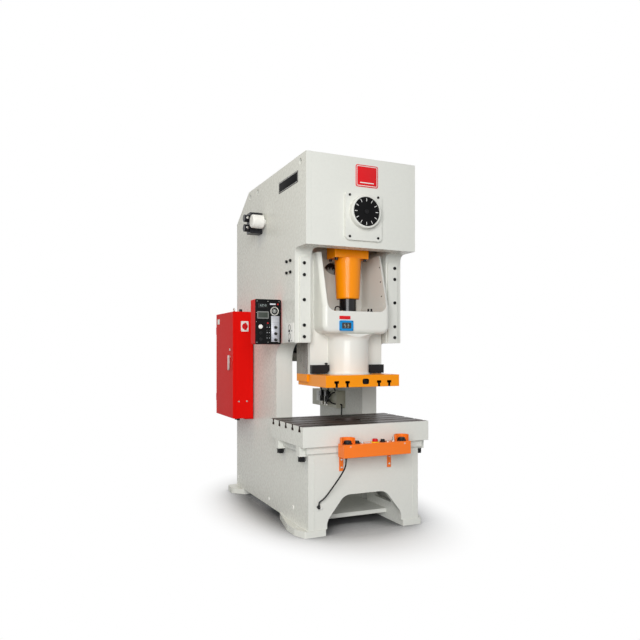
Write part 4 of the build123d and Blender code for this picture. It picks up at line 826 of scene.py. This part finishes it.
# %% Dial marks
CRANK_HEIGHT, DISC_FACE = 2265, -864
MARKS, MARKS_REACH = 12, 84
marks = []
for i in range(MARKS):
    angle = 2 * pi * i / MARKS
    place = (MARKS_REACH * sin(angle), DISC_FACE, CRANK_HEIGHT + MARKS_REACH * cos(angle))
    put(marks, plate(4.5, 22, 0.7, 1, 0.3), "front", place, "plate white", -degrees(angle))
hub = turned(((16, 0), (16, 3), (14, 5), (6, 5), (5, 4), (0, 4)), 32)
put(marks, hub, "front", (0, DISC_FACE, CRANK_HEIGHT), "black oxide")
piece("dial_marks", "crank", marks)
print("dial marks", MARKS)

# %% [markdown]
# ## Slide
# The casting carries a digital die-height display, a small label, two plungers on the floor of the
# pocket, and a bent oil pipe to the ball seat. Digits are made of seven bars each, as on the real
# display, and glow a little.

# %% Digits
SEGMENTS = {
    "a": (0, 1, 0.78, 0.12), "g": (0, 0, 0.78, 0.12), "d": (0, -1, 0.78, 0.12),
    "f": (-1, 0.5, 0.12, 0.8), "b": (1, 0.5, 0.12, 0.8),
    "e": (-1, -0.5, 0.12, 0.8), "c": (1, -0.5, 0.12, 0.8),
}
DIGITS = {"0": "abcdef", "2": "abged", "3": "abgcd", "5": "afgcd", "8": "abcdefg"}
THINNEST_BAR = 0.1


def digits(text, place, height, spacing):
    """Seven-segment digits in a row on a front; each is half as wide as it is high."""
    made = []
    half_high, half_wide = height / 2, height / 4
    right, up = Vector(FACINGS["front"][0]), Vector(FACINGS["front"][1])
    thinnest = THINNEST_BAR * height
    for i, character in enumerate(text):
        middle = (i - (len(text) - 1) / 2) * height * spacing
        for key in DIGITS[character]:
            x, y, w, h = SEGMENTS[key]
            bar = plate(max(w * 2 * half_wide, thinnest), max(h * half_high, thinnest), 0.5, 0.4, 0.2)
            spot = Vector(place) + right * (middle + x * half_wide) + up * (y * half_high)
            put(made, bar, "front", spot, "lit digit")
    return made


print("bars in 53", sum(len(DIGITS[character]) for character in "53"))

# %% [markdown]
# All that is screwed to the slide goes up and down with it. One mesh on the slide's body holds the
# digits, the bare red label, the plungers, the oil pipe and the screws of the clamp and the tray.

# %% Display, label and oil pipe on the slide
DISPLAY_X, DISPLAY_Z, DISPLAY_FRONT, SCREEN_FACE = -97.5, 1460.5, -744, -740
SLIDE_FACE, POCKET_FLOOR = -730, 1566
PIPE_ENDS = ((-165, -690), (-90, -651))
PIPE_BENDS = ((-164, -689, 1584), (-152, -683, 1598), (-126, -670, 1600), (-100, -656, 1588))

on_slide = digits("53", (DISPLAY_X, SCREEN_FACE, DISPLAY_Z), 22, 1.1)
label = plate(89, 25, 1.2, 2, 0.4)
put(on_slide, label, "front", (-105.5, SLIDE_FACE, 1518.5), "plate red")
for x, z in ((-145, 1430), (-50, 1430), (-145, 1491), (-50, 1491)):
    put(on_slide, socket_screw(3, 1.5), "front", (x, DISPLAY_FRONT, z), "black oxide")
plunger = turned(((9, 0), (9, 5), (7.5, 6), (7.5, 22), (6.5, 24), (0, 24)), 24)
for x, y in ((110, -686), (130, -695)):
    put(on_slide, plunger, "top", (x, y, POCKET_FLOOR), "black oxide")
pipe = [(*PIPE_ENDS[0], POCKET_FLOOR), *PIPE_BENDS, (*PIPE_ENDS[1], POCKET_FLOOR + 2)]
on_slide.append((rod_along(pipe, 5, 10), "black oxide"))
nut = turned(((8, 0), (8, 8), (6, 10), (4, 10), (0, 10)), 6)
for x, y in PIPE_ENDS:
    put(on_slide, nut, "top", (x, y, POCKET_FLOOR), "bronze")
for y, z in ((-655, 1690), (-640, 1800), (-625, 1910)):
    put(on_slide, socket_screw(5, 3), "left", (240, y, z), "black oxide")
put(on_slide, socket_screw(13, 10), "front", (CLAMP_MIDDLE, -798, 1060), "black oxide")
tray_knob = turned(((6, 0), (6, 4), (11, 5), (11, 14), (9, 16), (0, 16)), 28)
put(on_slide, tray_knob, "top", (-178, -564, 1175), "black plastic")
piece("slide_fittings", "slide", on_slide)
print("slide fittings", len(on_slide))

# %% [markdown]
# The display's box is solid already. Its frame is blue and its screen is dark, so the faces inside
# the frame get the screen's finish, by the same rule on the place of each face as on the table.

# %% Blue frame and screen of the display
ABOVE_TRAYS = 1400
SCREEN_HALF_WIDE, SCREEN_HALF_HIGH, SCREEN_NEAR, SCREEN_FAR = 38, 22, 3, 6


def on_display(face):
    return face.center.z > ABOVE_TRAYS * MM


def on_screen(face):
    x, y, z = (c / MM for c in face.center)
    inside = abs(x - DISPLAY_X) < SCREEN_HALF_WIDE and abs(z - DISPLAY_Z) < SCREEN_HALF_HIGH
    return on_display(face) and inside and SCREEN_NEAR < y - DISPLAY_FRONT < SCREEN_FAR


print("display faces", paint_chosen("slide_boxes", "display blue", on_display))
print("screen faces", paint_chosen("slide_boxes", "screen glass", on_screen))

# %% [markdown]
# ## Left side of the frame
# A light plate with two pale sight glasses sits beside the guide housing, a dark screw under each,
# and white plugs close the holes near the floor. A sight glass is a turned rim with a pale disc.

# %% Gauge plate and plugs
GAUGE_PLATE = 3
gauge_face = -SIDE_FACE - GAUGE_PLATE
side_pieces = []
gauge_plate = plate(178, 141, GAUGE_PLATE, 8, 1)
put(side_pieces, gauge_plate, "left", (-SIDE_FACE, -491, 1412.5), "plate white")
gauge_rim = turned(((19, 0), (23, 0), (23, 3), (21.5, 4), (20, 4), (19, 2.5), (19, 0)), 36)
gauge_dial = turned(((19, 0), (19, 1.5), (0, 1.5)), 36)
for z in (1449, 1385):
    put(side_pieces, gauge_rim, "left", (gauge_face, -500, z), "bezel grey")
    put(side_pieces, gauge_dial, "left", (gauge_face, -500, z), "white plastic")
for z in (1424, 1352):
    put(side_pieces, socket_screw(9, 6), "left", (gauge_face - 1, -500, z), "black oxide")
    put(side_pieces, socket_screw(5, 3), "left", (gauge_face, -545, z), "bezel grey")
plug = turned(((15, 0), (15, 2), (13, 4), (6, 5), (0, 5)), 32)
for y, z in PLUGS:
    for side, sign in SIDES:
        put(side_pieces, plug, side, (sign * SIDE_FACE, y, z), "white plastic")
piece("frame_side_fittings", "frame", side_pieces)
print("side fittings", len(side_pieces))

# %% [markdown]
# ## Welds
# The frame is welded from thick plate. A weld bead is a row of small overlapping lumps, painted
# over with the rest. A tube of uneven thickness along the joint gives that at a distance.

# %% Weld beads
def bead(start, end, points, radius, lumps=0.2):
    """A weld bead between two places."""
    return rod_along(straight(start, end, points), radius, 8, 2, lumps), "white enamel"


beads = []
for sign in (-1, 1):
    edge = sign * SIDE_FACE
    beads.append(bead((edge, -838, 46), (edge, -300, 46), 40, 5))
    beads.append(bead((edge, 625, 46), (edge, 838, 46), 18, 5))
    for y in LUGS_Y:
        for end in (-31, 31):
            beads.append(bead((edge, y + end, 560), (edge, y + end, 620), 8, 3.5))
    beads.append(bead((sign * 398, -843, 50), (sign * 398, -843, 568), 44, 2.2, 0.15))
    inner = edge - sign * 2
    beads.append(bead((inner, -800, 2021), (inner, -650, 2021), 14, 2.2, 0.15))
piece("weld_beads", "frame", beads)
print("beads", len(beads))

# %% [markdown]
# ## Electrical cabinet
# The isolator's square plate goes under its handle without touching the turning disc, so it has a
# round hole. The cabinet's top has a cable gland and a lifting eye, and its door a lock and a small
# plate, which ride on the door.

# %% Cabinet fittings
CABINET_FACE, CABINET_TOP, DOOR_FACE = 330, 1610, -628
ISOLATOR_X, ISOLATOR_Z = -526, 1486
EYE_Y, EYE_REACH, EYE_POINTS = 600, 17, 16

cabinet_parts = []
isolator_plate = faceplate(66, 87, 5, 26, 2)
put(cabinet_parts, isolator_plate, "front", (ISOLATOR_X, CABINET_FACE, ISOLATOR_Z), "plate white")
for z in (ISOLATOR_Z + 37, ISOLATOR_Z - 37):
    for x in (ISOLATOR_X - 27, ISOLATOR_X + 27):
        put(cabinet_parts, socket_screw(3.5, 2), "front", (x, CABINET_FACE - 2, z), "zinc plate")
for x in (-577, -507):
    put(cabinet_parts, socket_screw(7, 5), "front", (x, CABINET_FACE, 853), "zinc plate")
gland = turned(((17, 0), (17, 6), (14, 7), (14, 18), (11, 24), (7, 24), (7, 20), (0, 20)), 24)
put(cabinet_parts, gland, "top", (-540, 400, CABINET_TOP), "black plastic")
eye_base = turned(((15, 0), (15, 5), (9, 8), (9, 12), (0, 12)), 28)
put(cabinet_parts, eye_base, "top", (-540, EYE_Y, CABINET_TOP), "zinc plate")
eye = []
for i in range(EYE_POINTS + 1):
    turn = 2 * pi * i / EYE_POINTS
    eye.append((-540, EYE_Y + EYE_REACH * sin(turn), CABINET_TOP + 27 - EYE_REACH * cos(turn)))
cabinet_parts.append((rod_along(eye, 5, 10, 2), "zinc plate"))
piece("cabinet_fittings", "frame", cabinet_parts)

door_parts = []
keyhole = turned(((11, 0), (11, 3), (9, 4), (4, 4), (4, 1), (0, 1)), 28)
put(door_parts, keyhole, "left", (DOOR_FACE, 418, 1290), "zinc plate")
put(door_parts, plate(70, 46, 0.8, 3, 0.3), "left", (DOOR_FACE, 790, 1540), "plate white")
piece("door_fittings", "cabinet_door", door_parts)
print("cabinet pieces", len(cabinet_parts) + len(door_parts))

# %% [markdown]
# ## Operator panel
# The face lies 4 mm back in its frame. What the knobs turn over must stay thin, so the silver strip
# under the three knobs is a foil of 0.15 mm. Places are shares of the face, from its top left. The
# box itself is red, and its face is black by a second finish, with a pale ring round the gauge.

# %% Operator panel
PANEL_LEFT, PANEL_WIDTH, PANEL_TOP, PANEL_HEIGHT = -654, 204, 1664, 336
PANEL_FACE = -336
GAUGE_AT, RING_INNER, RING_OUTER = (0.745, 0.26), 24, 35


def on_panel(share_x, share_z, lift=0.0):
    return (PANEL_LEFT + share_x * PANEL_WIDTH, PANEL_FACE - lift, PANEL_TOP - share_z * PANEL_HEIGHT)


panel = []
for shape, place, finish in (
    (plate(76, 34, 1.2, 2, 0.5), on_panel(0.315, 0.145), "gloss black"),
    (plate(90, 54, 1.5, 4, 0.6), on_panel(0.305, 0.35), "bezel grey"),
    (plate(76, 40, 0.6, 1.5, 0.3), on_panel(0.305, 0.35, 1.5), "lit grey"),
    (plate(66, 194, 0.15, 3, 0.05), on_panel(0.787, 0.655), "silver panel"),
    (plate(46, 11, 0.5, 1, 0.2), on_panel(0.685, 0.105), "silver panel"),
    (turned(((25.5, 0), (25.5, 1.5), (0, 1.5)), 40), on_panel(*GAUGE_AT), "gloss black"),
    (turned(((16, 0), (16, 0.6), (0, 0.6)), 40), on_panel(*GAUGE_AT, 1.5), "bezel grey"),
    (plate(2.4, 13, 0.5, 1, 0.2), on_panel(0.745, 0.245, 2.1), "plate white"),
):
    put(panel, shape, "front", place, finish)
panel += digits("8250", on_panel(0.315, 0.135, 1.2), 14, 0.95)
signal_lamp = turned(((6.5, 0), (6.5, 2), (5, 4), (0, 5)), 28)
for share_x, share_z in ((0.49, 0.53), (0.88, 0.105)):
    put(panel, signal_lamp, "front", on_panel(share_x, share_z), "lamp red")
for share_x in (0.075, 0.5, 0.925):
    for share_z in (0.045, 0.955):
        put(panel, socket_screw(3.2, 1.8), "front", on_panel(share_x, share_z), "zinc plate")
for share_z in (0.3, 0.5):
    for share_x in (0.055, 0.96):
        put(panel, socket_screw(2.6, 1.6), "front", on_panel(share_x, share_z), "zinc plate")
for column in range(2):
    for row in range(3):
        share_x, share_z = 0.46 + 0.09 * column, 0.62 + 0.12 * row
        put(panel, plate(6, 5, 0.4, 1, 0.15), "front", on_panel(share_x, share_z, 4), "key grey")
        put(panel, plate(7, 1.6, 0.3, 0.5, 0.1), "front", on_panel(share_x, share_z - 0.05), "bezel grey")
piece("panel_face_details", "frame", panel)
print("panel pieces", len(panel))


def in_panel_front(face):
    """Faces that lie wholly in the front 4 mm of the box: its rim, its face and its keys."""
    mesh = nodes["panel_box"].data
    return all(mesh.vertices[i].co.y < (PANEL_FACE + 0.5) * MM for i in face.vertices)


def on_gauge_ring(face):
    x, y, z = on_panel(*GAUGE_AT)
    away = ((face.center.x / MM - x) ** 2 + (face.center.z / MM - z) ** 2) ** 0.5
    raised = face.center.y < (PANEL_FACE - 1) * MM
    return RING_INNER < away < RING_OUTER and in_panel_front(face) and raised


print("black panel faces", paint_chosen("panel_box", "panel black", in_panel_front))
print("gauge ring faces", paint_chosen("panel_box", "zinc plate", on_gauge_ring))

# %% [markdown]
# A knob that turns needs a pointer, or its turning can't be seen. Each pointer is a thin pale bar on
# the knob's own cap, and it rides on the knob's body.

# %% Pointers on the knobs
KNOBS = (("upper", 0.62), ("middle", 0.76), ("lower", 0.90))
KNOB_CAP, POINTER_UP = 16.3, 5
for name, share_z in KNOBS:
    x, y, z = on_panel(0.79, share_z, KNOB_CAP)
    pointer = seated(plate(2, 9, 0.5, 0.5, 0.2), "front", (x, y, z + POINTER_UP))
    piece(f"knob_mark_{name}", f"knob_{name}", [(pointer, "plate white")])
print("knob marks", len(KNOBS))

# %% [markdown]
# ## Air valve and junction box
# The valve gets a red signal dot, two fittings and the fins of its silencer. The air filter's bowls
# end in bright metal guards. Hoses hang in short loops between the filter heads, the box and the
# column. They are rods along a line, like the weld beads, so that they join the other fittings in
# one piece.

# %% Valve and junction box fittings
FIN_STEP, BOX_FACE = 16, 310
air = []
dot = turned(((6, 0), (6, 2), (4, 3.5), (0, 4)), 24)
put(air, dot, "front", (-490, 120, 2300), "red plastic")
air_fitting = turned(((12, 0), (12, 8), (8, 10), (8, 14), (0, 14)), 6)
for z in (2285, 2365):
    put(air, air_fitting, "front", (-560, 140, z), "zinc plate")
fin = turned(((53.5, 0), (54.3, 0.6), (54.3, 3.4), (53.5, 4), (53.5, 0)), 48)
for step in range(5):
    put(air, fin, "left", (-462 - step * FIN_STEP, 60, 2323), "white plastic")
piece("valve_fittings", "frame", air)

HOSES = (
    ((288, 418, 915), (286, 400, 960), (292, 370, 975), (312, 350, 955), (330, 345, 918)),
    ((288, 552, 915), (286, 580, 965), (292, 620, 985), (312, 650, 960), (330, 655, 918)),
    ((286, 414, 900), (270, 380, 880), (262, 345, 848), (270, 312, 818), (296, 298, 806), (312, 296, 804)),
    ((312, 318, 905), (288, 318, 900), (266, 338, 870), (262, 372, 836), (268, 402, 812), (280, 416, 800)),
    ((350, 280, 800), (348, 258, 798), (345, 246, 780), (342, 244, 730), (340, 246, 660), (338, 262, 620)),
)
junction = []
put(junction, plate(90, 95, 1, 3, 0.4), "left", (BOX_FACE, 675, 856), "plate white")
put(junction, plate(2, 440, 1, 0.5, 0.3), "left", (BOX_FACE, 560, 840), "junction enamel", 90)
guard = turned(((21.5, -1), (21.5, 30), (20.2, 30), (20.2, -1), (21.5, -1)), 32)
guard_floor = turned(((0, -6), (4, -6), (4, -1), (21.5, -1), (21.5, 0.5), (0, 0.5)), 32)
hose_union = turned(((17, 0), (17, 5), (12, 8), (12, 12), (0, 12)), 24)
for y in BOWLS_Y:
    put(junction, guard, "top", (BOWLS_X, y, 787), "zinc plate")
    put(junction, guard_floor, "top", (BOWLS_X, y, 787), "zinc plate")
    put(junction, hose_union, "top", (288, y, 908), "black plastic")
for route in HOSES:
    junction.append((rod_along(route, 6, 10), "cable sheath"))
piece("junction_fittings", "frame", junction)
print("air and junction pieces", len(air) + len(junction))

# %% [markdown]
# ## Two-hand console
# Collars stand round the buttons and clear of their caps, which travel 5 or 6 mm down, and are tall
# enough to hide the gap under a cap. The stop button has the usual yellow base. Bright screws hold
# the shields and the brackets.

# %% Console fittings
CONSOLE_TOP, CONSOLE_MIDDLE, CONSOLE_FACE = 648, -986, -1032
COLLARS = (
    # place across, inner and outer radius, height, finish
    (-139, 16, 20, 6.5, "black plastic"),
    (0, 21.5, 30, 5.5, "yellow plastic"),
    (60, 16, 20, 6.5, "black plastic"),
    (-212, 28, 32, 6, "black plastic"),
    (212, 28, 32, 6, "black plastic"),
    (100, 8, 14, 5, "zinc plate"),
    (-101, 9, 13, 4, "zinc plate"),
)


def collar(inner, outer, height):
    """A ring round a button, with its outer edge taken off."""
    profile = ((inner, 0), (outer, 0), (outer, height - 1), (outer - 1, height), (inner, height), (inner, 0))
    return turned(profile, 36)


on_console = []
for x, inner, outer, height, finish in COLLARS:
    put(on_console, collar(inner, outer, height), "top", (x, CONSOLE_MIDDLE, CONSOLE_TOP), finish)
for x, shape, finish in (
    (-101, turned(((9, 0), (9, 5), (7, 9), (4, 11), (0, 11.5)), 28), "key grey"),
    (100, turned(((8, 0), (8, 3), (0, 3)), 24), "gloss black"),
    (-57.5, plate(50, 34, 0.8, 2, 0.3), "plate white"),
):
    put(on_console, shape, "top", (x, CONSOLE_MIDDLE, CONSOLE_TOP), finish)
bracket_nut = turned(((9, 0), (9, 7), (7, 8), (0, 8)), 6)
for sign in (-1, 1):
    put(on_console, socket_screw(6, 4), "front", (sign * 211, CONSOLE_FACE + 3.7, 634), "zinc plate")
    for z in (466, 520):
        put(on_console, socket_screw(7, 6), "front", (sign * 192, -848, z), "zinc plate")
    for y in (-925, -880):
        put(on_console, bracket_nut, "bottom", (sign * 192, y, 554), "zinc plate")
for x in (-246, -170, 170, 246):
    put(on_console, socket_screw(3.5, 2), "top", (x, CONSOLE_MIDDLE + 38, CONSOLE_TOP), "zinc plate")
red_cap = turned(((6, 0), (6, 12), (4.5, 16), (0, 17)), 24)
put(on_console, red_cap, "bottom", (112, CONSOLE_MIDDLE, 559), "red plastic")
bush = turned(((10, 0), (10, 4), (8, 6), (8, 12), (5, 14), (0, 14)), 28)
put(on_console, bush, "front", (-346, -843, 197), "white plastic")
piece("console_fittings", "frame", on_console)
print("console fittings", len(on_console))

# %% [markdown]
# ## Rear guard
# The guard over the flywheel and the motor lifts off, so it is held by rows of screws, like any
# cover that a fitter opens once a year. The photograph doesn't show the back; the rows are usual.

# %% Screws on the rear guard
GUARD_FACE = 812
rear = []
for x in (-380, 0, 380):
    for z in (1200, 1500, 1800, 2100, 2400):
        put(rear, socket_screw(7, 5), "back", (x, GUARD_FACE, z), "black oxide")
piece("guard_screws", "frame", rear)
print("guard screws", len(rear))

# %% [markdown]
# ## Studio
# A plain pale floor and a white surround. A large soft lamp near the photographer lights the front
# evenly, and a warmer one hangs high on the left, so that the left side is a tone darker than the
# front and falls off towards the floor. A narrow upright lamp draws thin highlights on what is
# round and glossy. The floor fades to white with distance, so that no horizon shows behind the
# machine. Only what looks straight at it, reflects it or lets it through sees that white, so it adds
# no light to the machine. Under and round the machine an occlusion node darkens the floor's colour,
# a painted shadow where little light gets in.

# %% Floor
def seen_directly(tree):
    """1 for what the camera sees, also in a reflection or through glass, and 0 for bounced light."""
    path = add(tree, "LightPath").outputs
    either = calculate(tree, "MAXIMUM", path["Is Camera Ray"], path["Is Glossy Ray"])
    return calculate(tree, "MAXIMUM", either, path["Is Transmission Ray"])


FLOOR_REACH = 60
WHITE_FROM, WHITE_TO, ROUND_THE_PRESS = 0.85, 1.7, (1.7, 1.0, 1.0)
FLOOR_TONES, PAINTED_SHADOW_FLOOR = (srgb(232, 232, 232), srgb(238, 238, 238)), srgb(84, 84, 86)
BOUNCED_FLOOR = (0.3, 0.3, 0.3, 1)

floor_mesh = bpy.data.meshes.new("floor")
corners = [(x * FLOOR_REACH, y * FLOOR_REACH, 0) for x, y in ((-1, -1), (1, -1), (1, 1), (-1, 1))]
floor_mesh.from_pydata(corners, [], [(0, 1, 2, 3)])
floor = bpy.data.objects.new("floor", floor_mesh)
bpy.context.scene.collection.objects.link(floor)

tree, shader, rounded = new_finish("pale floor", FLOOR_ROUNDS, Roughness=0.6)
seen = seen_directly(tree)
place = add(tree, "NewGeometry").outputs["Position"]
narrow = add(tree, "VectorMath", ((0, place), (1, ROUND_THE_PRESS)), operation="MULTIPLY").outputs[0]
distance = add(tree, "VectorMath", ((0, narrow),), operation="LENGTH").outputs["Value"]
far = ranged(tree, distance, WHITE_FROM, WHITE_TO, 0.0, 1.0, "SMOOTHSTEP")
mottled = ranged(tree, object_noise(tree, 1.2, 4.0), 0.3, 0.7, 0.0, 1.0)
# Painted shadow: the floor goes dark grey where an occlusion node finds the machine close by.
painted_shadow_occlusion = add(tree, "AmbientOcclusion", (("Distance", 0.4),), samples=8).outputs["AO"]
outside_painted_shadow = ranged(tree, painted_shadow_occlusion, 0.45, 1.0, 0.0, 1.0, "SMOOTHSTEP")
floor_tone_with_painted_shadow = blend(tree, outside_painted_shadow, PAINTED_SHADOW_FLOOR, blend(tree, mottled, *FLOOR_TONES))
tree.links.new(blend(tree, seen, BOUNCED_FLOOR, floor_tone_with_painted_shadow), shader.inputs["Base Color"])
glow = add(tree, "Emission", ((0, (1, 1, 1, 1)), (1, 1.0)))
fade = calculate(tree, "MULTIPLY", far, seen)
mix = add(tree, "MixShader", ((0, fade), (1, shader.outputs[0]), (2, glow.outputs[0])))
tree.links.new(mix.outputs[0], tree.nodes["Material Output"].inputs[0])
floor_mesh.materials.append(finishes["pale floor"])
print("floor white from", WHITE_FROM, "to", WHITE_TO, "m")

# %% Lamps
PLAIN_WHITE, WARM_WHITE = (1.0, 1.0, 1.0), (1.0, 0.9, 0.66)
LAMPS = (
    # name, place, aim, width, height, power, colour
    ("key", (-3.2, -6.2, 2.9), (0, -0.2, 1.6), 3.6, 3.6, 310, PLAIN_WHITE),
    ("fill", (-4.2, -0.9, 5.6), (-0.4, 0, 2.5), 2.6, 2.6, 50, WARM_WHITE),
    ("edge", (-3.9, -4.7, 1.8), (0, -0.6, 1.6), 0.12, 2.8, 13, PLAIN_WHITE),
    ("top", (0.5, 1.0, 7.0), (0, -0.2, 1.3), 4.0, 4.0, 40, PLAIN_WHITE),
    ("back", (1.5, 6.5, 4.5), (0, -0.2, 1.3), 4.5, 4.5, 50, PLAIN_WHITE),
)

for name, spot, aim, width, height, power, colour in LAMPS:
    data = bpy.data.lights.new(name, "AREA")
    data.shape = "RECTANGLE"
    data.size, data.size_y = width, height
    data.energy, data.color = power, colour
    lamp = bpy.data.objects.new(name, data)
    lamp.location = spot
    lamp.rotation_euler = (Vector(aim) - Vector(spot)).to_track_quat("-Z", "Y").to_euler()
    lamp.visible_camera = False
    bpy.context.scene.collection.objects.link(lamp)
print("lamps", len(LAMPS), "watts", sum(row[5] for row in LAMPS))

# %% [markdown]
# The world lights the shaded sides a little and shows as plain white. It is one colour, so that no
# picture of a room is reflected in the machine.

# %% World
WORLD_STRENGTH = 0.3
world = bpy.data.worlds.new("studio")
bpy.context.scene.world = world
world.use_nodes = True
sky = world.node_tree
sky.nodes.clear()
plain = add(sky, "Background", ((0, (0.96, 0.98, 1.0, 1)), (1, WORLD_STRENGTH)))
white = add(sky, "Background", ((0, (1, 1, 1, 1)), (1, 1.0)))
mix = add(sky, "MixShader", ((0, seen_directly(sky)), (1, plain.outputs[0]), (2, white.outputs[0])))
add(sky, "OutputWorld", ((0, mix.outputs[0]),))
print("world", WORLD_STRENGTH)
